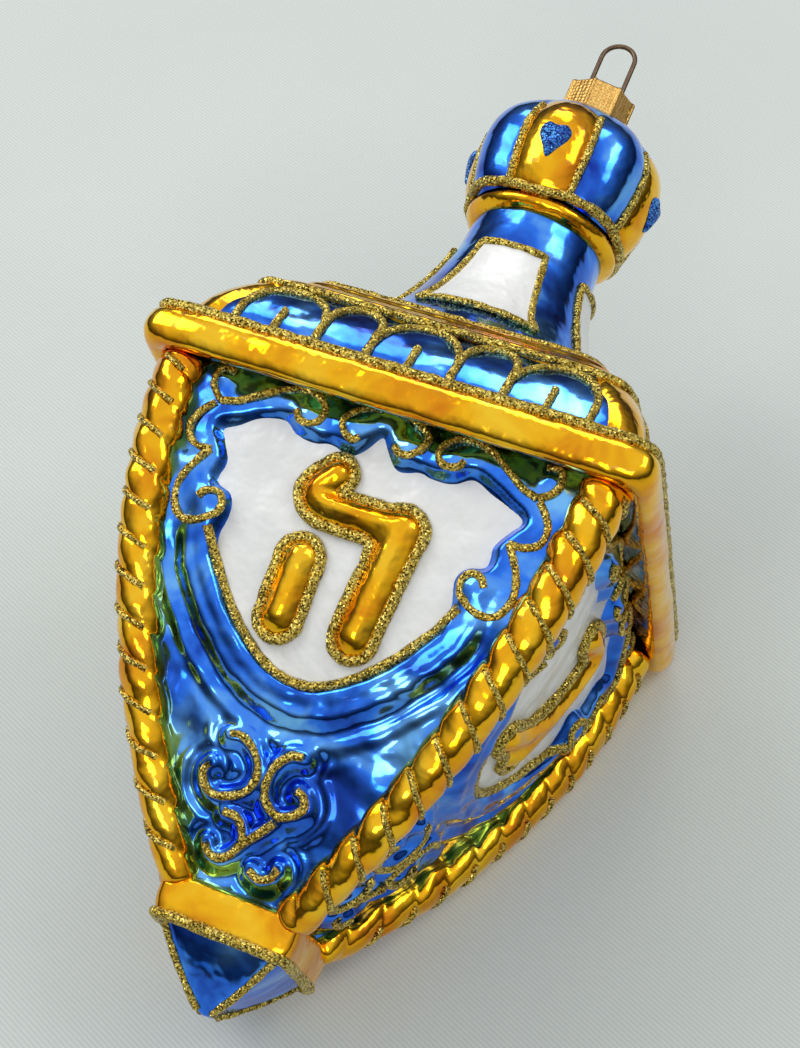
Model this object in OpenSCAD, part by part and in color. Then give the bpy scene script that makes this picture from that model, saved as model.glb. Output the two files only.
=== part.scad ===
// Hanging ornament in the form of a dreidel, blown in a mould as one hollow glass shell.
// The shell has a pointed tip, a collar, a four-sided body with a rope column at each
// corner, a cornice, a hipped roof with sunk fields, a flared stem and a lobed crown.
// A crimped metal cap sits on the neck and a spring wire holds it and makes the loop.
// Enamel fields, raised glitter lines and drops lie on the glass.
// The axis is Z, the tip is at the origin and the front face looks along -Y.

/* [Tip and collar] */
// Height of the pointed tip under the collar
tip_h = 9.8; // [8:0.1:13]
// Half-width of the blunt end of the tip
tip_end = 1.3; // [0.8:0.1:2]
// Half-width of the tip under the collar
tip_w = 9.3; // [8:0.1:10]
// How far the sides of the tip bow outward
tip_bow = 0.5; // [0.1:0.1:1]
// Height of the collar
collar_h = 6.0; // [4:0.1:9]
// Half-width of the collar at its edges
collar_w = 10.2; // [9.6:0.1:12]
// How far the collar bows outward
collar_bow = 0.5; // [0.1:0.1:1.2]

/* [Body] */
// Height of the four-sided body
body_h = 63.8; // [54:0.2:75]
// Distance from the axis to the column centres at the foot, along X and along Y
col_foot = 9.0; // [8:0.1:10]
// Distance from the widest line of the cornice in to the column centres at their head
col_in = 7.0; // [6.2:0.1:9.6]
// How far the columns bow outward
col_bow = 5.0; // [2:0.1:5.5]
// Depth of the faces behind the column centres
face_in = 0.8; // [0.3:0.1:1.5]
// Radius of a rope column
rope_r = 3.7; // [3.2:0.1:4]
// Number of turns in each rope column
rope_n = 13; // [13:1:17]
// Wall thickness of the glass
wall = 0.9; // [0.8:0.1:1.4]

/* [Cornice and roof] */
// Half-width of the cornice at its widest
cornice_w = 38.6; // [37:0.1:42]
// Height of the cornice
cornice_h = 5.8; // [5:0.1:9]
// Depth of the rounding under the cornice
cornice_round = 2.8; // [2:0.1:3.6]
// How far the cornice stands out over the foot of the roof
cornice_out = 3.8; // [2.6:0.1:5.6]
// Half-width of the roof at its top
roof_head = 22.6; // [21:0.1:25]
// Height of the roof
roof_h = 16.8; // [14:0.1:22]
// Width of the raised rib on each hip of the roof
hip_rib = 4.6; // [3:0.1:7]
// Height of the raised rail at the top of the roof
roof_rail = 5.2; // [4:0.1:7]
// Depth of the sunk fields of the roof
field_deep = 0.7; // [0.3:0.05:0.8]
// Width of the three wide arches on each slope
arch_wide = 12.6; // [11:0.1:13]
// Width of the two narrow arches between them
arch_slim = 7.8; // [7:0.1:8]
// Height of the arches, measured upright
arch_h = 9.4; // [8:0.1:10]
// Height of the bar under each wide arch
arch_bar = 4.6; // [3:0.1:6]

/* [Stem and crown] */
// Height of the flared stem
stem_h = 27.0; // [22:0.2:34]
// Radius of the stem at the roof
stem_foot = 22.0; // [19:0.1:22.5]
// Radius of the stem at the crown
stem_head = 10.8; // [9:0.1:11.5]
// Steepness of the flare
stem_flare = 2.2; // [1.6:0.1:3]
// Radius of the ring under the crown
ring_r = 12.2; // [11.6:0.1:12.8]
// Height of the ring under the crown
ring_h = 2.6; // [2:0.1:4]
// Radius of the crown between the lobes, at its widest
crown_r = 14.2; // [13.4:0.1:15]
// How much narrower the crown is at its foot
crown_taper = 1.6; // [1:0.1:2]
// Height of the crown from its foot to its widest part
crown_low = 8.8; // [7:0.1:11]
// Height of the dome of the crown above its widest part
crown_dome = 12.9; // [11:0.1:16]
// Number of lobes round the crown
lobe_n = 8; // [8:2:8]
// Radius of one lobe
lobe_r = 7.4; // [6.8:0.1:8]
// Distance from the widest line of the crown in to the middle of a lobe
lobe_in = 6.0; // [5.4:0.1:6.4]

/* [Neck, cap and wire] */
// Outer radius of the neck
neck_r = 4.5; // [4.1:0.1:5]
// Radius of the bore in the neck
neck_bore = 3.6; // [3.4:0.1:3.8]
// Height of the neck above the dome
neck_h = 4.6; // [3:0.1:6]
// Clearance between the neck and the cap
cap_fit = 0.4; // [0.2:0.05:0.6]
// Height of the cap
cap_h = 6.0; // [5:0.1:8]
// Thickness of the sheet of the cap
cap_sheet = 0.35; // [0.25:0.05:0.6]
// Gap between the rim of the cap and the dome
cap_gap = 0.3; // [0.2:0.05:0.6]
// Number of crimped sides of the cap
cap_n = 8; // [6:1:10]
// Turn of the cap on the neck
cap_turn = 17; // [0:1:30]
// Radius of the rib pressed into each edge of the cap
cap_rib = 0.35; // [0.2:0.05:0.5]
// Radius of the scallops in the rim of the cap
cap_scallop = 0.8; // [0.5:0.1:1.2]
// Diameter of the wire
wire_d = 0.8; // [0.6:0.05:1]
// Distance between the two legs of the wire
wire_span = 5.6; // [5.4:0.05:5.8]
// Length of the legs inside the neck
wire_leg = 14; // [8:0.5:18]
// Straight length of the loop above the cap
wire_rise = 7.6; // [5:0.1:10]
// Clearance round the wire in the cap
wire_fit = 0.25; // [0.15:0.05:0.4]

/* [Face relief] */
// Width of the raised roll round the white field of each face
frame_w = 7.0; // [5:0.1:7.4]
// Height of the raised roll over the face
frame_high = 1.2; // [0.8:0.1:1.6]
// Height of the mark on each face, as a share of the half-width of the white field
mark_share = 1.14; // [0.95:0.01:1.2]
// Width of the strokes of the marks
mark_w = 5.2; // [4:0.1:6]
// How far the marks stand out from the face
mark_high = 1.8; // [1:0.1:2.2]
// Distance from the round lower edge of the white field up to the foot of the marks
mark_up = 6.0; // [4:0.1:8]

/* [Trim] */
// Thickness of the enamel fields
enamel = 0.3; // [0.2:0.05:0.5]
// Height of the raised glitter lines
glitter = 0.6; // [0.4:0.05:0.9]
// Width of the raised glitter lines
line_w = 1.3; // [0.8:0.1:1.8]
// Half-width of the white field on each face, as a share of the cornice's
panel_share = 0.5; // [0.42:0.01:0.52]
// Depth of the round lower part of the white field
panel_drop = 16.4; // [12:0.1:18]
// Fullness of the round lower part, 2 for a parabola
panel_full = 1.9; // [1.7:0.1:2.6]
// Height of the straight upper part of the white field
panel_rise = 14.6; // [12:0.1:16]
// Distance from the cornice down to the top of the white field
panel_down = 5.0; // [4.6:0.1:6]
// Half-width of the white field of the stem at its foot
stem_panel_foot = 9.5; // [7:0.1:11]
// Half-width of the white field of the stem at its head
stem_panel_head = 5.2; // [4:0.1:6.5]
// Height of the white field of the stem
stem_panel_h = 14.5; // [10:0.1:17]
// Distance from the roof up to the white field of the stem
stem_panel_up = 5.5; // [3:0.1:8]
// Radius of the glitter drops on the crown
drop_r = 2.2; // [1.6:0.1:2.4]

/* [Hidden] */
$fn = 48;

blue = "#1f5fd8";
white = "#ececea";
sparkle = "#b08d2c";
brass = "#d9b66c";
bronze = "#6a5644";
jewel = "#0c3aa6";

// Levels along the axis
body_z = tip_h + collar_h;
cornice_z = body_z + body_h;
roof_z = cornice_z + cornice_h;
stem_z = roof_z + roof_h;
ring_z = stem_z + stem_h;
crown_z = ring_z + ring_h;
wide_z = crown_z + crown_low;
// The neck leaves the dome where the dome is as wide as the neck
neck_z = wide_z + crown_dome * sqrt(1 - pow(neck_r / crown_r, 2));
neck_top = neck_z + neck_h;
// The inside of the cap is a polygon round the neck, and its rim stops above the dome
cap_in = neck_r + cap_fit;
cap_out = cap_in + cap_sheet;
cap_corner = cap_out / cos(180 / cap_n);
cap_z = wide_z + crown_dome * sqrt(1 - pow(cap_in / crown_r, 2)) + cap_gap;
cap_top = max(cap_z + cap_h, neck_top + cap_gap + cap_sheet);
// The columns and the roof keep their distance from the edge of the cornice
col_head = cornice_w - col_in;
roof_foot = cornice_w - cornice_out;
// The white field and its mark follow the width of the cornice
panel_w = cornice_w * panel_share;
mark_h = panel_w * mark_share;
// The foot of the crown and its lobes follow its widest part
crown_foot = crown_r - crown_taper;
lobe_c = crown_r - lobe_in;
// Length that reaches past the object, and the cuts along the body
reach = 2 * cornice_w;
steps = 14;
// Share of the tip that is its blunt end, edge of the ring and lip under the roof fields
tip_blunt = 0.06;
ring_edge = 0.6;
field_lip = 0.8;

// Half-width of each zone, with t from 0 at its foot to 1 at its head
function tip_half(t) = tip_end + (tip_w - tip_end) * t + 4 * tip_bow * t * (1 - t);
function collar_half(t) = collar_w + 4 * collar_bow * t * (1 - t);
function col_half(t) = col_foot + (col_head - col_foot) * t + 4 * col_bow * t * (1 - t);
function face_half(t) = col_half(t) - face_in;
function cornice_half(u) = cornice_w - cornice_round * (1 - sqrt(1 - u * u));
function roof_half(t) = roof_foot + (roof_head - roof_foot) * t * t;
function stem_half(t) = stem_head + (stem_foot - stem_head) * pow(1 - t, stem_flare);
function crown_half(z) = z > wide_z
    ? crown_r * sqrt(max(0, 1 - pow((z - wide_z) / crown_dome, 2)))
    : crown_r - (crown_r - crown_foot) * pow((wide_z - z) / crown_low, 2);

// Cornice as a bull nose: the level u runs from -1 at its foot to the flat top
cornice_mid = 0.66;
cornice_top = (1 - cornice_mid) / cornice_mid;
function cornice_level(u) = cornice_z + cornice_h * cornice_mid * (1 + u);
cornice_u = [for (i = [0:7]) -1 + (1 + cornice_top) * i / 7];
// The same level for the thickness of the wall
cornice_wall = wall / (cornice_h * cornice_mid);

// Outlines of the zones in the plane of the axis, as half-width and height
function tip_line(g = 0) =
    [for (i = [0:5]) [tip_half(i / 5) + g, tip_h * (tip_blunt + (1 - tip_blunt) * i / 5)]];
function collar_line(g = 0) =
    [for (i = [0:4]) [collar_half(i / 4) + g, tip_h + collar_h * i / 4]];
function body_line(g = 0) =
    [for (i = [0:steps]) [face_half(i / steps) + g, body_z + body_h * i / steps]];
function cornice_line(g = 0) =
    [for (u = cornice_u) [cornice_half(u) + g, cornice_level(u)]];
function roof_line(g = 0) =
    [for (i = [0:8]) [roof_half(i / 8) + g, roof_z + roof_h * i / 8]];
function stem_line(g = 0) =
    [for (i = [0:12]) [stem_half(i / 12) + g, stem_z + stem_h * i / 12]];
function crown_line(g = 0) = concat(
    [for (i = [0:4]) [crown_half(crown_z + crown_low * i / 4) + g, crown_z + crown_low * i / 4]],
    [for (i = [1:7]) let (a = asin(neck_r / crown_r) + (90 - asin(neck_r / crown_r)) * (1 - i / 7))
        [crown_r * sin(a) + g * sin(a), wide_z + (crown_dome + g) * cos(a)]]);

ring_line = [[ring_r - ring_edge, ring_z], [ring_r, ring_z + ring_edge],
    [ring_r, crown_z - ring_edge]];

function mirrored(line) =
    concat(line, [for (i = [len(line) - 1:-1:0]) [-line[i][0], line[i][1]]]);
function closed(line) =
    concat([[0, line[0][1]]], line, [[0, line[len(line) - 1][1]]]);

// Solid of square section whose four sides all follow one outline
module square_solid(line) {
    intersection() {
        rotate([90, 0, 0])
            linear_extrude(height = 2 * reach, center = true)
                polygon(mirrored(line));
        rotate([90, 0, 90])
            linear_extrude(height = 2 * reach, center = true)
                polygon(mirrored(line));
    }
}

module round_solid(line) {
    rotate_extrude($fn = 96)
        polygon(closed(line));
}

// A flat outline, drawn as seen from the front, pushed out over one side of the object
module side_prism() {
    rotate([90, 0, 0])
        linear_extrude(height = reach)
            children();
}

module four_sides() {
    for (i = [0:3])
        rotate([0, 0, 90 * i])
            children();
}

// Lean of a column away from the axis at t, seen across its corner
function col_lean(t) =
    atan(sqrt(2) * (col_head - col_foot + 4 * col_bow * (1 - 2 * t)) / body_h);

// One column: a row of rounded turns that follows the corner of the body
module rope_column() {
    for (i = [0:rope_n - 1]) {
        t = (i + 0.5) / rope_n;
        translate([-col_half(t), -col_half(t), body_z + body_h * t])
            rotate([0, 0, 45])
                rotate([0, -col_lean(t), 0])
                    sphere(rope_r);
    }
}

// Field of one roof slope between the hip ribs, the cornice and the top rail
module field_outline(g = 0) {
    polygon([
        [-(roof_foot - hip_rib) - g, roof_z + field_lip - g],
        [roof_foot - hip_rib + g, roof_z + field_lip - g],
        [roof_half(0.5) - hip_rib + g, roof_z + roof_h * 0.5],
        [roof_half(1 - roof_rail / roof_h) - hip_rib + g, roof_z + roof_h - roof_rail + g],
        [-(roof_half(1 - roof_rail / roof_h) - hip_rib) - g, roof_z + roof_h - roof_rail + g],
        [-(roof_half(0.5) - hip_rib) - g, roof_z + roof_h * 0.5]
    ]);
}

module square_shell() {
    square_solid(concat([[tip_end * 0.4, 0]], tip_line(), collar_line(), body_line(),
        cornice_line(), roof_line()));
}

module roof_fields() {
    difference() {
        four_sides()
            side_prism()
                field_outline();
        square_solid(concat([[roof_foot - field_deep, cornice_z]], roof_line(-field_deep)));
    }
}

module turned_shell() {
    round_solid(concat([[stem_foot, stem_z - wall]], stem_line(),
        ring_line,
        crown_line(), [[neck_r, neck_z], [neck_r, neck_top]]));
}

module lobes() {
    for (i = [0:lobe_n - 1])
        rotate([0, 0, 360 / lobe_n * i])
            translate([lobe_c, 0, wide_z])
                sphere(lobe_r);
}

module inside() {
    square_solid(concat(
        [[0.3, tip_h * 0.35]],
        [for (i = [2:5]) [tip_half(i / 5) - 1.5 * wall,
            tip_h * (tip_blunt + (1 - tip_blunt) * i / 5)]],
        [for (i = [0:steps]) [face_half(i / steps) - wall, body_z + body_h * i / steps]],
        [[face_half(1) - wall, cornice_z + wall]],
        [for (i = [0:4]) let (u = -1 + cornice_wall + (1 + cornice_top - 2 * cornice_wall) * i / 4)
            [cornice_half(u) - wall, cornice_level(u)]],
        [for (i = [0:8]) [roof_half(i / 8) - wall - field_deep, roof_z - wall + roof_h * i / 8]]));
    round_solid(concat(
        [for (i = [0:12]) [stem_half(i / 12) - wall, stem_z - 2 * wall + (stem_h + wall) * i / 12]],
        [[stem_head - wall, crown_z]],
        [for (i = [0:4]) let (z = crown_z + wall + (crown_low - wall) * i / 4) [crown_half(z) - wall, z]],
        [for (i = [1:6]) let (a = asin(neck_bore / (crown_r - wall)), b = a + (90 - a) * (1 - i / 6))
            [(crown_r - wall) * sin(b), wide_z + (crown_dome - wall) * cos(b)]],
        [[neck_bore, neck_top + 1]]));
}

// Raised roll round the white field of a face, and the mark in the field
module face_relief(i) {
    intersection() {
        side_prism()
            difference() {
                panel_outline(frame_w);
                panel_outline(-line_w / 2);
            }
        side_band(body_line(-wall / 2), body_line(frame_high));
    }
    intersection() {
        side_prism()
            mark(i, -line_w / 2);
        side_band(body_line(-wall / 2), body_line(mark_high));
    }
}

module glass_body() {
    color(blue)
        difference() {
            union() {
                square_shell();
                turned_shell();
                lobes();
                four_sides()
                    rope_column();
                for (i = [0:3])
                    rotate([0, 0, 90 * i])
                        face_relief(i);
            }
            roof_fields();
            inside();
        }
}

module hanger_cap() {
    color(brass)
        difference() {
            union() {
                rotate([0, 0, cap_turn + 180 / cap_n])
                    translate([0, 0, cap_z])
                        cylinder(r = cap_corner, h = cap_top - cap_z, $fn = cap_n);
                for (i = [0:cap_n - 1])
                    rotate([0, 0, cap_turn + 360 / cap_n * (i + 0.5)])
                        translate([cap_corner - cap_rib / 2, 0, cap_z])
                            cylinder(r = cap_rib, h = cap_top - cap_z, $fn = 24);
            }
            translate([0, 0, cap_z - 1])
                cylinder(r = cap_in, h = cap_top - cap_sheet - cap_z + 1);
            for (i = [0:cap_n - 1])
                rotate([0, 0, cap_turn + 360 / cap_n * i])
                    translate([cap_in - 1, 0, cap_z - cap_scallop / 2])
                        rotate([0, 90, 0])
                            cylinder(r = cap_scallop, h = 3, $fn = 32);
            for (s = [-1, 1])
                translate([s * wire_span / 2, 0, cap_top - cap_sheet - 1])
                    cylinder(r = wire_d / 2 + wire_fit, h = cap_sheet + 2);
        }
}

// Two straight legs and a half ring of wire
bow_z = cap_top + wire_rise;
module hanger_wire() {
    color(bronze) {
        for (s = [-1, 1])
            translate([s * wire_span / 2, 0, cap_top - cap_sheet - wire_leg])
                cylinder(d = wire_d, h = bow_z - cap_top + cap_sheet + wire_leg);
        translate([0, 0, bow_z])
            rotate([90, 0, 0])
                intersection() {
                    rotate_extrude()
                        translate([wire_span / 2, 0])
                            circle(d = wire_d);
                    translate([-wire_span, 0, -wire_d])
                        cube([2 * wire_span, wire_span, 2 * wire_d]);
                }
    }
}

// Outline of the white field: round below, straight above
panel_top = cornice_z - panel_down;
panel_mid = panel_top - panel_rise;
module panel_outline(g = 0) {
    polygon(concat(
        [for (i = [-9:9]) [(panel_w + g) * i / 9,
            panel_mid - (panel_drop + g) * (1 - pow(abs(i / 9), panel_full))]],
        [[panel_w + g, panel_top], [-panel_w - g, panel_top]]));
}

// The four marks of the game, in the order of the sides from the front to the right.
// Each stroke has its two ends, as shares of the height of the mark, and a share of the width.
marks = [
    [[[-0.18, 0.97], [-0.26, 0.8], 0.85], [[-0.26, 0.8], [0.32, 0.75], 0.95],
        [[0.32, 0.75], [0.27, 0.06], 1.15], [[-0.22, 0.4], [-0.23, 0.04], 1.15]],
    [[[0.3, 0.9], [0.1, 0.03], 1], [[0.3, 0.9], [0.08, 0.94], 0.8], [[0.18, 0.36], [-0.2, 0.03], 0.9]],
    [[[0.17, 0.9], [0.15, 0.06], 1], [[0.17, 0.9], [-0.1, 0.94], 0.8], [[0.15, 0.06], [-0.26, 0.04], 0.9]],
    [[[-0.12, 0.08], [0.12, 0.08], 1.05], [[-0.36, 0.94], [-0.12, 0.08], 0.95],
        [[0.36, 0.94], [0.12, 0.08], 0.95], [[0, 0.94], [-0.04, 0.12], 0.85]]
];
mark_z = panel_mid - panel_drop + mark_up;

// Direction of a line at its point i
function heading(line, i) =
    let (d = line[min(i + 1, len(line) - 1)] - line[max(i - 1, 0)]) atan2(d[1], d[0]);
function beside(line, i, r, a) = line[i] + r * [cos(heading(line, i) + a), sin(heading(line, i) + a)];

// One stroke through the points of a line, r to each side, with round or plain ends
module stroke(line, r, round_ends) {
    last = len(line) - 1;
    turn = round_ends ? [60, 30, 0, -30, -60] : [];
    polygon(concat([for (i = [0:last]) beside(line, i, r, 90)],
        [for (a = turn) beside(line, last, r, a)],
        [for (i = [last:-1:0]) beside(line, i, r, -90)],
        [for (a = turn) beside(line, 0, r, a - 180)]));
}

// Mark of side i, wider than its strokes by g on each side
module mark(i, g = 0) {
    translate([0, mark_z])
        for (m = marks[i])
            stroke(mark_h * [m[0], m[1]], m[2] * mark_w / 2 + g, true);
}

// Thin layer on one side between two outlines, as wide as the object
module side_band(inner, outer) {
    rotate([90, 0, 90])
        linear_extrude(height = 2 * reach, center = true)
            polygon(concat([for (q = inner) [-q[0], q[1]]],
                [for (i = [len(outer) - 1:-1:0]) [-outer[i][0], outer[i][1]]]));
}

module panel_enamel() {
    color(white)
        for (i = [0:3])
            rotate([0, 0, 90 * i])
                intersection() {
                    side_prism()
                        difference() {
                            panel_outline(-line_w / 2);
                            mark(i, line_w / 2);
                        }
                    side_band(body_line(), body_line(enamel));
                }
}

// Line of glitter round each mark
module mark_glitter() {
    color(sparkle)
        for (i = [0:3])
            rotate([0, 0, 90 * i])
                intersection() {
                    side_prism()
                        difference() {
                            mark(i, line_w / 2);
                            mark(i, -line_w / 2);
                        }
                    side_band(body_line(), body_line(enamel + glitter));
                }
}

// Spiral round a middle, s = [x, z, first radius, last radius, first angle, last angle]
function spiral(s, n = 8) = [for (i = [0:n])
    let (r = s[2] + (s[3] - s[2]) * i / n, a = s[4] + (s[5] - s[4]) * i / n)
        [s[0] + r * cos(a), s[1] + r * sin(a)]];

function flipped(line) = [for (i = [len(line) - 1:-1:0]) [-line[i][0], line[i][1]]];

// Free width between the white field and the column at height z, and a scroll that fills it
scroll_gap = 0.2;
function side_room(z) = col_half((z - body_z) / body_h) - rope_r - panel_w;
function side_curl(z, last, from, to) =
    let (r = (side_room(z) - line_w) / 2 - scroll_gap)
        spiral([panel_w + side_room(z) / 2, z, r, last * r, from, to]);

// Scrolls over the right half of the roll, from the middle of the face outward
curl_r = 1.6;
curl_z = panel_top + 2.6;
middle_scroll = spiral([4.3, curl_z, curl_r, 0.7 * curl_r, 150, -150]);
middle_line = concat(flipped(middle_scroll), [[0, curl_z + 1.4]], middle_scroll);
top_scroll = concat([for (i = [0:3]) [panel_w + 4.2 - 3.2 * i, panel_top + 1.2 + 0.9 * i]],
    spiral([panel_w - 8.4, curl_z, curl_r, 0.7 * curl_r, 60, 330]));
corner_scroll = spiral([panel_w + side_room(curl_z) / 2, panel_top + 3.1, 1.2, 1.2, 110, -120]);
side_scroll = side_curl(panel_mid + 11.4, 1, 66, -110);
low_scroll = side_curl(panel_mid + 1.9, 0.5, 50, -280);

// Curls of the flourish, sized by the free height between the collar and the roll
low_room = panel_mid - panel_drop - frame_w - body_z;
function low_curl(s) = spiral([for (i = [0:5])
    i == 1 ? body_z + low_room * s[1] : i < 4 ? low_room * s[i] : s[i]]);
flourish = [
    low_curl([-0.245, 0.7, 0.197, 0.16, 108, -185]),
    low_curl([0.197, 0.71, 0.187, 0.067, 90, 380]),
    low_curl([-0.163, 0.3, 0.125, 0.125, 40, -180]),
    low_curl([0.135, 0.26, 0.11, 0.11, 200, 350])
];

module scroll_glitter() {
    color(sparkle)
        four_sides() {
            intersection() {
                side_prism() {
                    stroke(middle_line, line_w / 2, false);
                    for (line = [top_scroll, corner_scroll, side_scroll, low_scroll]) {
                        stroke(line, line_w / 2, false);
                        stroke(flipped(line), line_w / 2, false);
                    }
                }
                side_band(body_line(frame_high), body_line(frame_high + glitter));
            }
            intersection() {
                side_prism()
                    for (line = flourish)
                        stroke(line, line_w / 2, false);
                side_band(body_line(), body_line(glitter));
            }
        }
}

module panel_outline_glitter() {
    color(sparkle)
        four_sides()
            intersection() {
                side_prism()
                    intersection() {
                        difference() {
                            panel_outline(line_w / 2);
                            panel_outline(-line_w / 2);
                        }
                        translate([-reach, panel_mid - reach])
                            square([2 * reach, reach]);
                    }
                side_band(body_line(frame_high), body_line(frame_high + glitter));
            }
}

// Outline of the white field of the stem, wider below
module stem_panel(g = 0) {
    z0 = stem_z + stem_panel_up;
    polygon([for (i = [0:6]) [stem_panel_foot + (stem_panel_head - stem_panel_foot) * sqrt(i / 6) + g,
        z0 - g + (stem_panel_h + 2 * g) * i / 6],
        for (i = [6:-1:0]) [-stem_panel_foot - (stem_panel_head - stem_panel_foot) * sqrt(i / 6) - g,
        z0 - g + (stem_panel_h + 2 * g) * i / 6]]);
}

module stem_layer(h) {
    difference() {
        round_solid(stem_line(h));
        round_solid(concat([[stem_foot, stem_z - 1]], stem_line(), [[stem_head, ring_z + 1]]));
    }
}

module stem_enamel() {
    color(white)
        intersection() {
            four_sides()
                side_prism()
                    stem_panel(-line_w / 2);
            stem_layer(enamel);
        }
}

module stem_panel_glitter() {
    color(sparkle)
        intersection() {
            four_sides()
                side_prism()
                    difference() {
                        stem_panel(line_w / 2);
                        stem_panel(-line_w / 2);
                    }
            stem_layer(glitter);
        }
}

// Bead of glitter round a square edge at half-width w and height z
module square_bead(w, z) {
    four_sides()
        translate([-w, -w, z]) {
            rotate([0, 90, 0])
                cylinder(d = line_w, h = 2 * w, $fn = 24);
            sphere(d = line_w, $fn = 24);
        }
}

module cornice_glitter_line() {
    color(sparkle)
        difference() {
            square_bead(cornice_half(cornice_top) - line_w / 4, roof_z);
            square_solid(cornice_line());
        }
}

module roof_rim_glitter() {
    color(sparkle)
        difference() {
            union() {
                square_bead(roof_head, stem_z);
                square_bead(roof_half(1 - roof_rail / roof_h), stem_z - roof_rail);
            }
            square_solid(roof_line());
        }
}

// Arches of glitter in the sunk fields, wide and narrow by turns along the foot of the roof
arch_step = (arch_wide + arch_slim) / 2;
field_edge = 0.3;
module arch_outline(w) {
    r = w / 2;
    difference() {
        union() {
            translate([0, arch_h - r])
                circle(r + line_w / 2);
            translate([-r - line_w / 2, 0])
                square([2 * r + line_w, arch_h - r]);
        }
        translate([0, arch_h - r])
            circle(r - line_w / 2);
        translate([-r + line_w / 2, -1])
            square([2 * r - line_w, arch_h - r + 1]);
    }
}

module roof_arch_glitter() {
    color(sparkle)
        four_sides()
            intersection() {
                side_prism()
                    intersection() {
                        field_outline(-field_edge);
                        for (i = [-2:2])
                            translate([arch_step * i, roof_z]) {
                                arch_outline(i % 2 == 0 ? arch_wide : arch_slim);
                                if (i % 2 == 0)
                                    translate([-line_w / 2, 0])
                                        square([line_w, arch_bar]);
                            }
                    }
                side_band(roof_line(-field_deep), roof_line(glitter - field_deep));
            }
}

module collar_glitter_line() {
    color(sparkle)
        difference() {
            square_bead(collar_w - line_w / 4, tip_h);
            square_solid(concat(tip_line(), collar_line()));
        }
}

// Lines along the four edges of the tip
module tip_glitter_lines() {
    color(sparkle)
        intersection() {
            difference() {
                square_solid(tip_line(glitter));
                square_solid(tip_line());
            }
            for (a = [45, 135])
                rotate([0, 0, a])
                    translate([-reach, -line_w / 2, 0])
                        cube([2 * reach, line_w, tip_h - line_w / 2]);
        }
}

module crown_solid() {
    round_solid(concat([[ring_r, ring_z], [ring_r, crown_z - ring_edge]],
        crown_line(), [[neck_r, neck_top]]));
    lobes();
}

module crown_band_glitter() {
    color(sparkle)
        difference() {
            translate([0, 0, crown_z])
                rotate_extrude($fn = 96)
                    translate([crown_foot, 0])
                        circle(d = 1.4 * line_w, $fn = 24);
            round_solid(concat(ring_line, crown_line()));
        }
}

// Upright lines in the valleys between the lobes, cut from a skin over the crown
rib_skin = glitter + 0.3;
rib_arc = 14;
module crown_rib_glitter() {
    color(sparkle)
        difference() {
            intersection() {
                round_solid(concat([[crown_foot, crown_z + line_w]],
                    [for (i = [1:4]) let (z = crown_z + line_w + (crown_low - line_w) * i / 4)
                        [crown_half(z) + rib_skin, z]],
                    [for (i = [1:4]) [(crown_r + rib_skin) * cos(rib_arc * i),
                        wide_z + (crown_dome + rib_skin) * sin(rib_arc * i)]]));
                for (i = [0:lobe_n - 1])
                    rotate([0, 0, 360 / lobe_n * (i + 0.5)])
                        translate([0, -line_w / 2, crown_z])
                            cube([reach, line_w, 2 * crown_dome + crown_low]);
            }
            crown_solid();
        }
}

// Drop of glitter near the top of each lobe that faces a side, with its point below
drop_tilt = 18;
drop_step = 14;
drop_point = 0.62;
module crown_jewel_drops() {
    color(jewel)
        difference() {
            four_sides()
                translate([0, -lobe_c, wide_z]) {
                    rotate([-drop_tilt, 0, 0])
                        translate([0, -lobe_r, 0])
                            sphere(drop_r, $fn = 32);
                    rotate([-drop_tilt + drop_step, 0, 0])
                        translate([0, -lobe_r, 0])
                            sphere(drop_r * drop_point, $fn = 32);
                }
            lobes();
        }
}

glass_body();
hanger_cap();
hanger_wire();
panel_enamel();
stem_enamel();
panel_outline_glitter();
stem_panel_glitter();
cornice_glitter_line();
roof_rim_glitter();
roof_arch_glitter();
collar_glitter_line();
tip_glitter_lines();
crown_band_glitter();
crown_rib_glitter();
crown_jewel_drops();
mark_glitter();
scroll_glitter();
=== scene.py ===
"""Dresses the glass dreidel ornament: lacquered glass, enamel, glitter, cap and wire."""

import logging
import math
from abc import ABC, abstractmethod
from dataclasses import dataclass
from enum import Enum
from functools import partial
from typing import Callable, Sequence

import bmesh
import bpy
import numpy as np
from mathutils import Matrix, Vector, noise


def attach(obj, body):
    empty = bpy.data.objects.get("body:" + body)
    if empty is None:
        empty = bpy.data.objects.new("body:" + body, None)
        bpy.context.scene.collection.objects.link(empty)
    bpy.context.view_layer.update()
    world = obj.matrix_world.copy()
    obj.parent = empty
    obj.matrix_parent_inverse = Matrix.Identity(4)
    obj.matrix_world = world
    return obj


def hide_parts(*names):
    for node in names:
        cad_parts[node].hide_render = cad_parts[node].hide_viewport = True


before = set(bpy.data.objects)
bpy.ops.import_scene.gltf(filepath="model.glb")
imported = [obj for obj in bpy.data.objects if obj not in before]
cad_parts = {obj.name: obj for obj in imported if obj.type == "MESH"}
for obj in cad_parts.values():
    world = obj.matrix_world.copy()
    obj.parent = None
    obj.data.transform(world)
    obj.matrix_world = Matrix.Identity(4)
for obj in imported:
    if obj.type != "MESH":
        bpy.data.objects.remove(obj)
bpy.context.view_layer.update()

LOG = logging.getLogger("ornament")
MM = 0.001
ROUND = 2 * math.pi
Spots = np.ndarray
Outline = Callable[[Spots], Spots]
Place = Callable[[Spots, Spots], Spots]
Profile = Sequence[tuple[float, float]]


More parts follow.
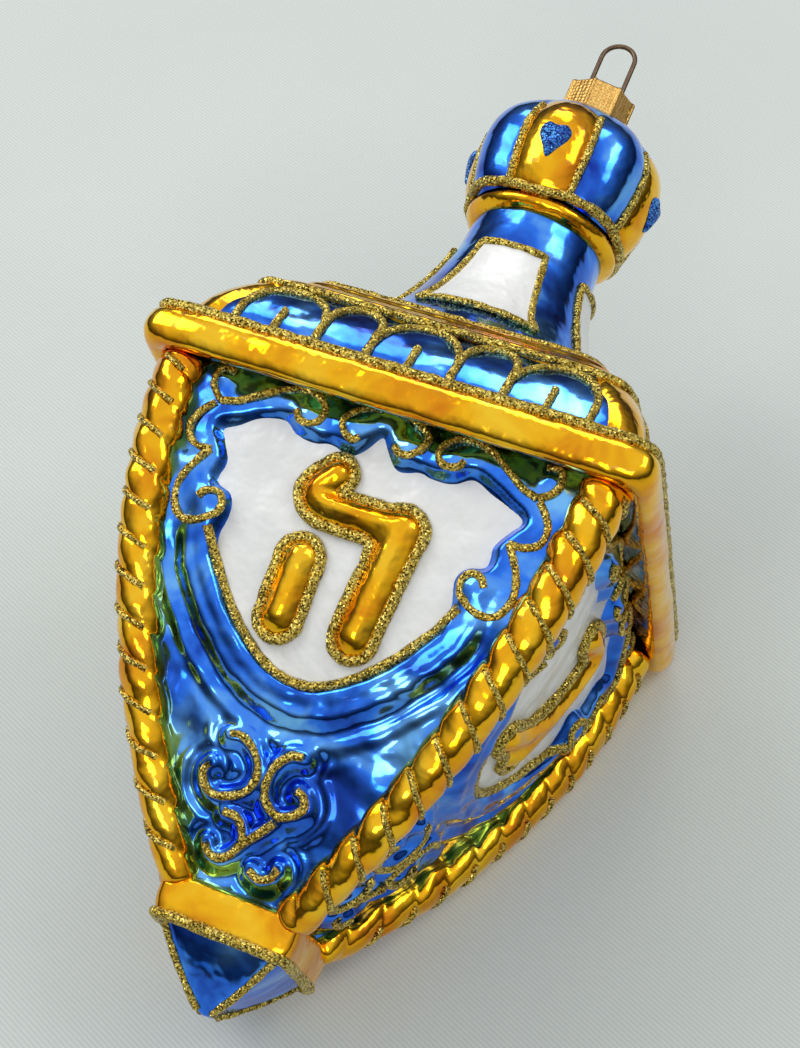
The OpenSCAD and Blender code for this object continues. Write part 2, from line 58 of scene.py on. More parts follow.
class Side(Enum):
    """The four sides of the ornament, counted from the front to the right."""

    FRONT = 0
    RIGHT = 1
    BACK = 2
    LEFT = 3

    @property
    def label(self) -> str:
        """The side as the names of pieces have it."""
        return self.name.lower()

    def place(self, across: Spots, out: Spots, up: Spots) -> Spots:
        """Turns places on this side into the frame of the part.

        Args:
            across: Distance to the right of the middle, seen from outside.
            out: Distance from the axis.
            up: Height above the tip.

        Returns:
            One row of X, Y and Z for each place, in millimetres.
        """
        turn = math.radians(90 * self.value)
        c, s = round(math.cos(turn)), round(math.sin(turn))
        across, out, up = np.broadcast_arrays(across, out, up)
        return np.stack([across * c + out * s, across * s - out * c, up], axis=-1)


# Lines and outlines


def run_length(line: Spots) -> Spots:
    """Length along a line up to each of its spots."""
    return np.concatenate([[0], np.cumsum(np.linalg.norm(np.diff(line, axis=0), axis=1))])


def spaced(line: Spots, even: Spots) -> Spots:
    """Spots at some lengths along a line."""
    length = run_length(line)
    return np.stack([np.interp(even, length, way) for way in line.T], axis=-1)


def flowing(points: Sequence[tuple[float, ...]], step: float = 0.4, ring: bool = False) -> Spots:
    """Draws a smooth line through a few points.

    Args:
        points: The points, in millimetres.
        step: Distance between the spots of the line.
        ring: Whether the line closes on itself.

    Returns:
        Evenly spaced spots along the line.
    """
    p = np.array(points, float)
    ends = np.vstack([p[-1], p, p[:2]]) if ring else np.vstack([2 * p[0] - p[1], p, 2 * p[-1] - p[-2]])
    t = np.linspace(0, 1, 12, endpoint=False)[:, None]
    runs = []
    for a, b, c, d in zip(ends, ends[1:], ends[2:], ends[3:]):
        runs.append(b + 0.5 * t * (c - a + t * (2 * a - 5 * b + 4 * c - d + t * (3 * (b - c) + d - a))))
    line = np.vstack([*runs, ends[-2]])
    total = run_length(line)[-1]
    return spaced(line, np.linspace(0, total, max(2, round(total / step) + 1)))


def nearest(spots: Spots, line: Spots) -> Spots:
    """Measures how far spots are from a line.

    Args:
        spots: The spots.
        line: The spots along the line.

    Returns:
        For each spot, the distance to the nearest place on the line.
    """
    best = np.full(len(spots), 1e9)
    for p, q in zip(line[:-1], line[1:]):
        run = q - p
        share = np.clip(((spots - p) @ run) / max(run @ run, 1e-12), 0, 1)
        best = np.minimum(best, np.linalg.norm(spots - p - share[:, None] * run, axis=1))
    return best


def within(spots: Spots, ring: Spots) -> Spots:
    """Tells which spots lie inside a closed line.

    Args:
        spots: The spots.
        ring: The spots along the closed line.

    Returns:
        True for each spot inside.
    """
    x, y = spots.T
    odd = np.zeros(len(spots), bool)
    for (x0, y0), (x1, y1) in zip(ring, np.roll(ring, -1, axis=0)):
        if y0 != y1:
            odd ^= ((y0 > y) != (y1 > y)) & (x < (x1 - x0) * (y - y0) / (y1 - y0) + x0)
    return odd


def outside(spots: Spots, ring: Spots) -> Spots:
    """Distance outside a closed line, negative inside it."""
    away = nearest(spots, np.vstack([ring, ring[:1]]))
    return np.where(within(spots, ring), -away, away)


def ease(share: Spots) -> Spots:
    """Smooth step from 0 to 1."""
    share = np.clip(share, 0, 1)
    return share * share * (3 - 2 * share)


def lumps(spots: Spots, size: float, height: float) -> Spots:
    """Uneven height of a blown surface, one value for each spot."""
    return height * np.array([noise.noise(Vector(p) / size) for p in spots])


def swell(spots: Spots, size: float, height: float) -> Spots:
    """Moves spots a little away from or towards the axis.

    Args:
        spots: The spots.
        size: Width of a lump.
        height: Height of a lump.

    Returns:
        The moved spots.
    """
    flat = spots * (1, 1, 0)
    way = flat / np.maximum(np.linalg.norm(flat, axis=1), 1e-6)[:, None]
    return spots + way * lumps(spots, size, height)[:, None]


def around(out: Spots | float, angle: Spots, z: Spots | float) -> Spots:
    """Places spots by distance from the axis, direction and height."""
    return np.stack(np.broadcast_arrays(out * np.cos(angle), out * np.sin(angle), z), axis=-1)


def square_norm(angle: Spots, sharp: float) -> Spots:
    """Divides a half-width to give the reach of a rounded square in a direction."""
    return (np.abs(np.cos(angle)) ** sharp + np.abs(np.sin(angle)) ** sharp) ** (1 / sharp)


def square_ring(half: float, z: float, sharp: float, count: int) -> Spots:
    """Line round a rounded square at a height."""
    angle = np.linspace(0, ROUND, count, endpoint=False)
    return around(half / square_norm(angle, sharp), angle, z)


def square_depth(half: Spots, across: Spots, sharp: float) -> Spots:
    """Depth of a rounded square of that half-width at a distance from its middle."""
    return np.maximum(half**sharp - np.abs(across) ** sharp, 1e-6) ** (1 / sharp)


# Meshes


def flat_spots(bm: bmesh.types.BMesh) -> Spots:
    """X and Y of every vertex of a flat bmesh."""
    return np.array([v.co[:2] for v in bm.verts])


def move(verts: Sequence[bmesh.types.BMVert], places: Spots) -> None:
    """Moves vertices to places in millimetres."""
    for vert, place in zip(verts, places * MM):
        vert.co = place


def finished(name: str, bm: bmesh.types.BMesh) -> bpy.types.Object:
    """Turns a bmesh into a smooth object in the scene.

    Args:
        name: Name of the piece.
        bm: Its shape, freed here.

    Returns:
        The piece.
    """
    mesh = bpy.data.meshes.new(name)
    bm.to_mesh(mesh)
    bm.free()
    mesh.shade_smooth()
    thing = bpy.data.objects.new(name, mesh)
    bpy.context.scene.collection.objects.link(thing)
    return thing


def sheets(name: str, across: int, along: int, places: Sequence[Place]) -> bpy.types.Object:
    """Makes one piece of one or more sheets, each a grid moved into place.

    Args:
        name: Name of the piece.
        across: Cells from left to right, seen from outside.
        along: Cells from foot to head.
        places: For each sheet, the function from the two shares to millimetres.

    Returns:
        The piece.
    """
    whole = bmesh.new()
    for place in places:
        fresh = bmesh.ops.create_grid(whole, x_segments=across, y_segments=along, size=0.5)["verts"]
        grid = np.array([v.co[:2] for v in fresh]) + 0.5
        move(fresh, place(grid[:, 0], grid[:, 1]))
        bmesh.ops.remove_doubles(whole, verts=fresh, dist=1e-7)
    return finished(name, whole)


def rims(bm: bmesh.types.BMesh) -> list[Spots]:
    """Walks round the open edges of a flat patch.

    Args:
        bm: The patch.

    Returns:
        The closed lines round it.
    """
    loops, left_over = [], dict.fromkeys(e for e in bm.edges if e.is_boundary)
    while left_over:
        edge, _ = left_over.popitem()
        walk = [edge.verts[0], edge.verts[1]]
        while walk[-1] is not walk[0]:
            following = next((e for e in walk[-1].link_edges if e in left_over), None)
            if following is None:
                break
            del left_over[following]
            walk.append(following.other_vert(walk[-1]))
        loops.append(np.array([v.co[:2] for v in walk[:-1]]))
    return loops


def patch(outline: Outline, box: tuple[float, float, float, float], step: float) -> bmesh.types.BMesh:
    """Cuts a flat patch out of a grid along an outline.

    Args:
        outline: Distance outside the outline, negative inside.
        box: Left, right, low and high limit of the grid.
        step: Width of a cell.

    Returns:
        The flat patch.
    """
    bm = bmesh.new()
    left, right, low, high = box
    wide, tall = right - left, high - low
    bmesh.ops.create_grid(bm, x_segments=round(wide / step), y_segments=round(tall / step), size=0.5)
    bmesh.ops.scale(bm, vec=(wide, tall, 1), verts=bm.verts)
    bmesh.ops.translate(bm, vec=((left + right) / 2, (low + high) / 2, 0), verts=bm.verts)
    away = outline(flat_spots(bm))
    bm.verts.index_update()
    spare = [f for f in bm.faces if sum(away[v.index] for v in f.verts) > 0]
    bmesh.ops.delete(bm, geom=spare, context="FACES")
    rim = [v for v in bm.verts if v.is_boundary]
    probe = 0.05
    for _ in range(3):
        spot = np.array([v.co[:2] for v in rim])
        away = outline(spot)
        ways = ((probe, 0), (0, probe))
        slope = np.stack([outline(spot + d) - outline(spot - d) for d in ways], axis=-1) / (2 * probe)
        spot = spot - slope * (away / np.maximum((slope**2).sum(axis=1), 0.2))[:, None]
        for v, p in zip(rim, spot):
            v.co = (*p, 0)
    return bm


def turned(name: str, profile: Profile) -> bpy.types.Object:
    """Turns a profile round the axis.

    Args:
        name: Name of the piece.
        profile: Radius and height along the profile.

    Returns:
        The piece.
    """
    bm = bmesh.new()
    line = [bm.verts.new((x * MM, 0, z * MM)) for x, z in flowing(profile, 0.25)]
    edges = [bm.edges.new(pair) for pair in zip(line, line[1:])]
    bmesh.ops.spin(
        bm, geom=line + edges, cent=(0, 0, 0), axis=(0, 0, 1), angle=ROUND, steps=96, use_merge=True
    )
    bmesh.ops.remove_doubles(bm, verts=bm.verts, dist=1e-7)
    bmesh.ops.recalc_face_normals(bm, faces=bm.faces)
    return finished(name, bm)


def round_square(profile: Profile, sharp: float, lump: float = 0.0) -> Place:
    """Gives the place function of a band of rounded square section.

    Args:
        profile: Half-width and height along the band, from its foot.
        sharp: How square the section is.
        lump: Height of the unevenness.

    Returns:
        A place function for sheets.
    """
    line = flowing(profile, 0.2)
    length = np.linspace(0, 1, len(line))

    def place(u: Spots, v: Spots) -> Spots:
        """Places spots of the band.

        Args:
            u: Shares round the band.
            v: Shares up the band.

        Returns:
            The places in millimetres.
        """
        half = np.interp(v, length, line[:, 0])
        spots = around(half / square_norm(ROUND * u, sharp), ROUND * u, np.interp(v, length, line[:, 1]))
        return swell(spots, 7.0, lump) if lump else spots

    return place


class Bead(Enum):
    """The glitter lines, each with the radius of its tube and the height of its grain."""

    BOLD = (0.85, 0.25)
    COLLAR = (0.85, 0.2)
    FIELD = (0.72, 0.2)
    RAIL = (0.65, 0.22)
    FLOURISH = (0.62, 0.2)
    ARCH = (0.6, 0.2)
    TIP = (0.6, 0.18)
    SCROLL = (0.58, 0.2)
    COLUMN = (0.45, 0.2)


def strands(name: str, lines: Sequence[Spots], bead: Bead, rings: bool) -> bpy.types.Object:
    """Makes raised glue lines, each a tube with a grainy skin.

    Args:
        name: Name of the piece.
        lines: The middle of each line, in millimetres.
        bead: Which glitter line it is.
        rings: Whether every line closes on itself.

    Returns:
        One piece with all the lines.
    """
    radius, grain = bead.value
    curve = bpy.data.curves.new(name, "CURVE")
    curve.dimensions = "3D"
    curve.bevel_depth = radius * MM
    curve.bevel_resolution = 3
    curve.use_fill_caps = not rings
    for line in lines:
        spline = curve.splines.new("POLY")
        spline.points.add(len(line) - 1)
        spline.points.foreach_set("co", np.column_stack([line * MM, np.ones(len(line))]).ravel())
        spline.use_cyclic_u = rings
    holder = bpy.data.objects.new(name, curve)
    bpy.context.scene.collection.objects.link(holder)
    mesh = bpy.data.meshes.new_from_object(holder.evaluated_get(bpy.context.evaluated_depsgraph_get()))
    bpy.data.objects.remove(holder)
    bpy.data.curves.remove(curve)
    bm = bmesh.new()
    bm.from_mesh(mesh)
    bpy.data.meshes.remove(mesh)
    bmesh.ops.recalc_face_normals(bm, faces=bm.faces)
    bm.normal_update()
    fine, coarse = 0.3 * MM, 1.8 * MM
    for v in bm.verts:
        v.co += v.normal * grain * MM * (0.3 * noise.noise(v.co / fine) + 0.8 * noise.noise(v.co / coarse))
    return finished(name, bm)


def enrol(piece: bpy.types.Object, finish: bpy.types.Material, slot: str, body: str, *nodes: str) -> None:
    """Gives a piece its finish and its place in the part.

    Args:
        piece: The piece.
        finish: Its material.
        slot: The slot of the record that it stands for; not used.
        body: The body that it rides on.
        nodes: The nodes that it stands for.
    """
    piece.data.materials.clear()
    piece.data.materials.append(finish)
    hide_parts(*nodes)
    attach(piece, body)
    LOG.info("%s: %d faces, rides on %s", piece.name, len(piece.data.polygons), body)


# Finishes


def to_linear(code: str) -> tuple[float, float, float, float]:
    """Turns an sRGB hex colour into linear red, green, blue and alpha."""
    parts = [int(code[i : i + 2], 16) / 255 for i in (1, 3, 5)]
    return (*(c / 12.92 if c <= 0.04045 else ((c + 0.055) / 1.055) ** 2.4 for c in parts), 1.0)


def add_node(
    tree: bpy.types.NodeTree, kind: str, inputs: dict[str | int, object] | None = None, **settings: object
) -> bpy.types.Node:
    """Adds a node.

    Args:
        tree: The node tree.
        kind: The type of node.
        inputs: For each input, a value or the output that feeds it.
        settings: Properties of the node.

    Returns:
        The node.
    """
    node = tree.nodes.new(kind)
    for name, value in settings.items():
        setattr(node, name, value)
    for key, value in (inputs or {}).items():
        if isinstance(value, bpy.types.NodeSocket):
            tree.links.new(value, node.inputs[key])
        else:
            node.inputs[key].default_value = value
    return node


def set_ramp(node: bpy.types.Node, low: tuple, middle: tuple, high: tuple) -> None:
    """Sets the three stops of a colour ramp.

    Args:
        node: The ramp.
        low: Position and linear colour of the first stop.
        middle: Position and linear colour of the middle stop.
        high: Position and linear colour of the last stop.
    """
    stops = node.color_ramp.elements
    stops[0].position, stops[0].color = low
    stops[1].position, stops[1].color = high
    stops.new(middle[0]).color = middle[1]


def per_mm(size: float) -> float:
    """Texture scale of a pattern whose parts are that many millimetres wide."""
    return 1 / (size * MM)


class Finish(ABC):
    """A finish of the ornament, which makes its own material."""

    name: str

    def make(self) -> bpy.types.Material:
        """Makes the material on Object coordinates.

        Returns:
            The material.
        """
        material = bpy.data.materials.new(self.name)
        material.use_nodes = True
        tree = material.node_tree
        tree.nodes.clear()
        spot = add_node(tree, "ShaderNodeTexCoord").outputs["Object"]
        add_node(tree, "ShaderNodeOutputMaterial", {"Surface": self.shade(tree, spot)})
        return material

    @abstractmethod
    def shade(self, tree: bpy.types.NodeTree, spot: bpy.types.NodeSocket) -> bpy.types.NodeSocket:
        """Adds the nodes of the finish on Object coordinates, and returns its finished surface."""


@dataclass(frozen=True)
class Lacquer(Finish):
    """Transparent lacquer over silvered glass: a coloured mirror with uneven pools of colour."""

    name: str
    tone: str
    deep: str
    pale: str
    pool: float = 9.0
    ripple: float = 5.0
    wave: float = 0.25
    rough: float = 0.13
    coat: float = 0.25

    def shade(self, tree: bpy.types.NodeTree, spot: bpy.types.NodeSocket) -> bpy.types.NodeSocket:
        """Adds the pools of colour, the ripples of the glass and the clear coat.

        Args:
            tree: The empty tree of the material.
            spot: Its Object coordinates.

        Returns:
            The output with the finished surface.
        """
        size = {"Vector": spot, "Scale": per_mm(self.pool)}
        pools = add_node(tree, "ShaderNodeTexNoise", size | {"Detail": 3.0, "Distortion": 0.6})
        mixed = add_node(tree, "ShaderNodeValToRGB", {"Fac": pools.outputs["Fac"]})
        deep, tone, pale = map(to_linear, (self.deep, self.tone, self.pale))
        set_ramp(mixed, (0.3, deep), (0.5, tone), (0.72, pale))
        size = {"Vector": spot, "Scale": per_mm(self.ripple)}
        ripples = add_node(tree, "ShaderNodeTexNoise", size | {"Detail": 2.0, "Roughness": 0.45})
        depth = {"Strength": self.wave, "Distance": 0.9 * MM}
        dents = add_node(tree, "ShaderNodeBump", depth | {"Height": ripples.outputs["Fac"]})
        inputs = {
            "Base Color": mixed.outputs["Color"],
            "Metallic": 1.0,
            "Roughness": self.rough,
            "Coat Weight": self.coat,
            "Coat Roughness": 0.04,
            "Normal": dents.outputs["Normal"],
        }
        return add_node(tree, "ShaderNodeBsdfPrincipled", inputs).outputs["BSDF"]


@dataclass(frozen=True)
class Enamel(Finish):
    """Opaque brushed enamel: thick, glossy and a little lumpy."""

    name: str = "white_enamel_brushed"
    tone: str = "#E2E2DE"
    shadow: str = "#D2D4D3"
    stroke: float = 6.0
    lump: float = 3.6

    def shade(self, tree: bpy.types.NodeTree, spot: bpy.types.NodeSocket) -> bpy.types.NodeSocket:
        """Adds the thick and thin strokes and the lumps.

        Args:
            tree: The empty tree of the material.
            spot: Its Object coordinates.

        Returns:
            The output with the finished surface.
        """
        size = {"Vector": spot, "Scale": per_mm(self.stroke), "Detail": 3.0}
        cloud = add_node(tree, "ShaderNodeTexNoise", size).outputs["Fac"]
        tones = {0: cloud, 6: to_linear(self.tone), 7: to_linear(self.shadow)}
        tint = add_node(tree, "ShaderNodeMix", tones, data_type="RGBA")
        size = {"Vector": spot, "Scale": per_mm(self.lump), "Detail": 2.0}
        lump = add_node(tree, "ShaderNodeTexNoise", size).outputs["Fac"]
        dents = add_node(tree, "ShaderNodeBump", {"Height": lump, "Strength": 0.5, "Distance": 1.0 * MM})
        inputs = {
            "Base Color": tint.outputs[2],
            "Roughness": 0.32,
            "Specular IOR Level": 0.5,
            "Coat Weight": 0.3,
            "Coat Roughness": 0.12,
            "Normal": dents.outputs["Normal"],
        }
        return add_node(tree, "ShaderNodeBsdfPrincipled", inputs).outputs["BSDF"]


@dataclass(frozen=True)
class Glitter(Finish):
    """Foil glitter on glue: flakes about 0.2 mm wide that each face their own way, and whose colours run at
    random from painted shade to painted glint, bright beside dark.
    """

    name: str
    dark: str
    tone: str
    bright: str
    flake: float = 0.21
    lean: float = 1.3

    def shade(self, tree: bpy.types.NodeTree, spot: bpy.types.NodeSocket) -> bpy.types.NodeSocket:
        """Adds the flakes, each with its own lean and its own painted light, from painted shade to painted
        glint.

        Args:
            tree: The empty tree of the material.
            spot: Its Object coordinates.

        Returns:
            The output with the finished surface.
        """
        size = {"Vector": spot, "Scale": per_mm(self.flake)}
        flakes = add_node(tree, "ShaderNodeTexVoronoi", size).outputs["Color"]
        pick = add_node(tree, "ShaderNodeSeparateColor", {"Color": flakes})
        # Painted light: each flake's colour is set at random from painted shade (dark) through tone to
        # painted glint (bright), on top of the real lean of its normal.
        mixed = add_node(tree, "ShaderNodeValToRGB", {"Fac": pick.outputs[0]})
        dark, tone, bright = map(to_linear, (self.dark, self.tone, self.bright))
        set_ramp(mixed, (0.1, dark), (0.5, tone), (0.92, bright))
        facing = add_node(tree, "ShaderNodeNewGeometry").outputs["Normal"]
        swing = {0: flakes, 1: (self.lean,) * 3, 2: (-self.lean / 2,) * 3}
        tilt = add_node(tree, "ShaderNodeVectorMath", swing, operation="MULTIPLY_ADD").outputs[0]
        leant = add_node(tree, "ShaderNodeVectorMath", {0: facing, 1: tilt}, operation="ADD").outputs[0]
        unit = add_node(tree, "ShaderNodeVectorMath", {0: leant}, operation="NORMALIZE").outputs[0]
        inputs = {"Base Color": mixed.outputs["Color"], "Metallic": 0.65, "Roughness": 0.3, "Normal": unit}
        return add_node(tree, "ShaderNodeBsdfPrincipled", inputs).outputs["BSDF"]


@dataclass(frozen=True)
class StampedSheet(Finish):
    """Thin stamped sheet with a gilt wash: a soft metal sheen and rows of small pressed dots."""

    name: str = "gilt_stamped_sheet"
    tone: str = "#DDB56A"
    worn: str = "#B98A45"
    wash: float = 1.4
    dot: float = 0.62

    def shade(self, tree: bpy.types.NodeTree, spot: bpy.types.NodeSocket) -> bpy.types.NodeSocket:
        """Adds the uneven wash and the pressed dots.

        Args:
            tree: The empty tree of the material.
            spot: Its Object coordinates.

        Returns:
            The output with the finished surface.
        """
        size = {"Vector": spot, "Scale": per_mm(self.wash), "Detail": 4.0}
        wash = add_node(tree, "ShaderNodeTexNoise", size).outputs["Fac"]
        tones = {0: wash, 6: to_linear(self.tone), 7: to_linear(self.worn)}
        tint = add_node(tree, "ShaderNodeMix", tones, data_type="RGBA")
        size = {"Vector": spot, "Scale": per_mm(self.dot), "Randomness": 0.35}
        dots = add_node(tree, "ShaderNodeTexVoronoi", size).outputs["Distance"]
        dents = add_node(tree, "ShaderNodeBump", {"Height": dots, "Strength": 0.7, "Distance": 0.25 * MM})
        normal = dents.outputs["Normal"]
        inputs = {"Base Color": tint.outputs[2], "Metallic": 1.0, "Roughness": 0.42, "Normal": normal}
        return add_node(tree, "ShaderNodeBsdfPrincipled", inputs).outputs["BSDF"]


@dataclass(frozen=True)
class DrawnWire(Finish):
    """Bronze-coloured drawn wire: a dull metal with drawing lines along it."""

    name: str = "bronzed_drawn_wire"
    tone: str = "#7A6450"
    worn: str = "#4C3D31"
    line: float = 2.0

    def shade(self, tree: bpy.types.NodeTree, spot: bpy.types.NodeSocket) -> bpy.types.NodeSocket:
        """Adds the drawing lines.

        Args:
            tree: The empty tree of the material.
            spot: Its Object coordinates.

        Returns:
            The output with the finished surface.
        """
        along = add_node(tree, "ShaderNodeMapping", {"Vector": spot, "Scale": (6.0, 6.0, 1.0)}).outputs[0]
        size = {"Vector": along, "Scale": per_mm(self.line), "Detail": 3.0}
        lines = add_node(tree, "ShaderNodeTexNoise", size).outputs["Fac"]
        tones = {0: lines, 6: to_linear(self.worn), 7: to_linear(self.tone)}
        tint = add_node(tree, "ShaderNodeMix", tones, data_type="RGBA")
        dents = add_node(tree, "ShaderNodeBump", {"Height": lines, "Strength": 0.3, "Distance": 0.05 * MM})
        normal = dents.outputs["Normal"]
        inputs = {"Base Color": tint.outputs[2], "Metallic": 1.0, "Roughness": 0.36, "Normal": normal}
        return add_node(tree, "ShaderNodeBsdfPrincipled", inputs).outputs["BSDF"]


@dataclass(frozen=True)
class Cloth(Finish):
    """Pale twill table cloth, matt with fine slanted ridges, seen only from its upper side."""

    name: str = "pale_twill_cloth"
    tone: str = "#C8CEC8"
    shadow: str = "#BDC2BE"
    # The colour that the grooves of the weave are multiplied by, as painted shade.
    groove: str = "#F0F0F0"
    cloud: float = 70.0
    ridge: float = 0.62
    slant: float = -22.0

    def shade(self, tree: bpy.types.NodeTree, spot: bpy.types.NodeSocket) -> bpy.types.NodeSocket:
        """Adds the soft clouds of tone and the ridges with painted shade in their grooves, and clears the
        underside.

        Args:
            tree: The empty tree of the material.
            spot: Its Object coordinates.

        Returns:
            The output with the finished surface.
        """
        size = {"Vector": spot, "Scale": per_mm(self.cloud), "Detail": 3.0}
        cloud = add_node(tree, "ShaderNodeTexNoise", size).outputs["Fac"]
        tones = {0: cloud, 6: to_linear(self.tone), 7: to_linear(self.shadow)}
        tint = add_node(tree, "ShaderNodeMix", tones, data_type="RGBA").outputs[2]
        turn = {"Vector": spot, "Rotation": (0.0, math.radians(self.slant), 0.0)}
        slanted = add_node(tree, "ShaderNodeMapping", turn).outputs["Vector"]
        # A wave texture of scale 1 repeats every pi / 10.
        size = {"Vector": slanted, "Scale": per_mm(self.ridge) * math.pi / 10}
        uneven = {"Distortion": 0.8, "Detail": 2.0, "Detail Scale": 0.4}
        weave = add_node(tree, "ShaderNodeTexWave", size | uneven, bands_direction="Z").outputs["Fac"]
        dents = add_node(tree, "ShaderNodeBump", {"Height": weave, "Strength": 0.35, "Distance": 0.06 * MM})
        # Painted shade: the colour is multiplied darker along the grooves of the weave, on top of their
        # bump.
        tones = {0: weave, 6: tint, 7: to_linear(self.groove)}
        weave_shaded = add_node(tree, "ShaderNodeMix", tones, data_type="RGBA", blend_type="MULTIPLY")
        inputs = {"Base Color": weave_shaded.outputs[2], "Roughness": 0.9, "Normal": dents.outputs["Normal"]}
        upper = add_node(tree, "ShaderNodeBsdfPrincipled", inputs).outputs["BSDF"]
        clear = add_node(tree, "ShaderNodeBsdfTransparent").outputs["BSDF"]
        below = add_node(tree, "ShaderNodeNewGeometry").outputs["Backfacing"]
        return add_node(tree, "ShaderNodeMixShader", {0: below, 1: upper, 2: clear}).outputs[0]


class Palette:
    """All the finishes of the ornament, made once."""

    def __init__(self) -> None:
        """Makes the materials."""
        blue = Lacquer("blue_lacquer_on_silver", "#2E7AF4", "#0C33A4", "#78C2FF", wave=0.4)
        gold = Lacquer("gold_lacquer_on_silver", "#F9B80E", "#DF8304", "#FFCF2E", ripple=3.4, wave=0.4)
        silver = Lacquer("bare_silvered_glass", "#C9CDD2", "#A9AFB8", "#E4E7EA", wave=0.05)
        self.blue, self.gold, self.silver = blue.make(), gold.make(), silver.make()
        self.enamel = Enamel().make()
        self.sparkle = Glitter("gold_foil_glitter", "#42390A", "#AE8E22", "#F5DF74").make()
        self.jewel = Glitter("blue_foil_glitter", "#031A5E", "#0D49B4", "#5FB2FF").make()
        self.sheet = StampedSheet().make()
        self.wire = DrawnWire().make()
        self.cloth = Cloth().make()


def glass(piece: bpy.types.Object, lacquer: bpy.types.Material) -> None:
    """Enrols a piece of the blown glass."""
    enrol(piece, lacquer, "silvered_glass", "shell", "glass_body")


def glitter(
    name: str, lines: Sequence[Spots], bead: Bead, finish: Palette, node: str, rings: bool = False
) -> None:
    """Makes and enrols a piece of gold glitter lines, open or closed, that stands for a node."""
    enrol(strands(name, lines, bead, rings), finish.sparkle, "gold_glitter", "shell", node)


# The ornament


@dataclass(frozen=True)
class Levels:
    """Heights of the zones above the tip, in millimetres."""

    collar: float = 9.8
    body: float = 15.8
    cornice: float = 79.6
    roof: float = 85.4
    deck: float = 102.2
    ring: float = 129.2
    crown: float = 131.8
    neck_top: float = 157.44
    cap: float = 153.0
    cap_top: float = 159.0


LEVELS = Levels()


@dataclass
class Foot:
    """The pointed tip and the collar above it."""

    point: float = 1.3
    tip_half: float = 9.3
    tip_sharp: float = 9
    bow: float = 0.5
    collar_half: float = 10.2
    collar_sharp: float = 14

    def tip_out(self, z: Spots) -> Spots:
        """Half-width of the tip at a height."""
        t = np.clip((z / LEVELS.collar - 0.06) / 0.94, 0, 1)
        return self.point + (self.tip_half - self.point) * t + 4 * self.bow * t * (1 - t)

    def build(self, finish: Palette) -> None:
        """Builds the tip and the collar.

        Args:
            finish: The finishes.
        """
        slope = [(float(self.tip_out(z)), float(z)) for z in np.linspace(0.6, LEVELS.collar, 7)]
        tip = round_square([(0.05, 0.02), (0.7, 0.12), *slope], self.tip_sharp)
        glass(sheets("tip_glass", 96, 40, [tip]), finish.blue)
        w, low, high = self.collar_half, LEVELS.collar, LEVELS.body
        foot = [(w - 1.2, low), (w, low + 0.4), (w + 0.5, (low + high) / 2)]
        head = [(w + 0.1, high - 0.4), (w - 2.2, high + 0.9)]
        collar = round_square(foot + head, self.collar_sharp, 0.25)
        glass(sheets("collar_glass", 128, 30, [collar]), finish.gold)

    def dress(self, finish: Palette) -> None:
        """Lays the glitter round the collar and along the edges of the tip.

        Args:
            finish: The finishes.
        """
        low = LEVELS.collar
        ring = square_ring(self.collar_half - 0.1, low, self.collar_sharp, 220)
        glitter("collar_glitter", [ring], Bead.COLLAR, finish, "collar_glitter_line", rings=True)
        z = np.linspace(0.5, low - 0.5, 34)
        out = self.tip_out(z) * math.sqrt(2) / 2 ** (1 / self.tip_sharp)
        edges = [around(out, math.radians(45 + 90 * k), z) for k in range(4)]
        glitter("tip_edge_glitter", edges, Bead.TIP, finish, "tip_glitter_lines")


class Mark(Enum):
    """The four marks of the game as strokes.

    A stroke has points, as shares of the height of the mark, and its share of the full width.
    """

    HEY = (
        ((-0.18, 0.97), (-0.27, 0.84), (-0.2, 0.76), (0.0, 0.75), (0.34, 0.75), 0.95),
        ((0.34, 0.75), (0.31, 0.4), (0.27, 0.06), 1.15),
        ((-0.22, 0.4), (-0.23, 0.04), 1.15),
    )
    GIMEL = (
        ((0.08, 0.94), (0.24, 0.95), (0.31, 0.86), (0.27, 0.66), (0.1, 0.03), 1.0),
        ((0.18, 0.36), (0.0, 0.14), (-0.2, 0.03), 0.9),
    )
    NUN = (
        ((-0.1, 0.94), (0.1, 0.95), (0.17, 0.86), (0.15, 0.1), 1.0),
        ((0.15, 0.08), (-0.26, 0.04), 0.9),
    )
    SHIN = (
        ((-0.36, 0.94), (-0.3, 0.4), (-0.12, 0.08), (0.12, 0.08), (0.3, 0.4), (0.36, 0.94), 0.95),
        ((0.0, 0.94), (-0.06, 0.4), (-0.12, 0.12), 0.85),
    )

    def outline(self, spots: Spots) -> Spots:
        """Measures spots against the strokes, which join with soft inner corners.

        Args:
            spots: Flat spots on a face.

        Returns:
            The distance outside the strokes, negative inside.
        """
        soft, high, low, half = 0.6, 22.0, 49.6, 2.6
        total = np.zeros(len(spots))
        for *points, share in self.value:
            line = flowing(points, 0.02) * high + (0, low)
            total += np.exp(-(nearest(spots, line) - share * half) / soft)
        return -soft * np.log(np.maximum(total, 1e-12))


MARKS = {Side.FRONT: Mark.HEY, Side.RIGHT: Mark.GIMEL, Side.BACK: Mark.NUN, Side.LEFT: Mark.SHIN}


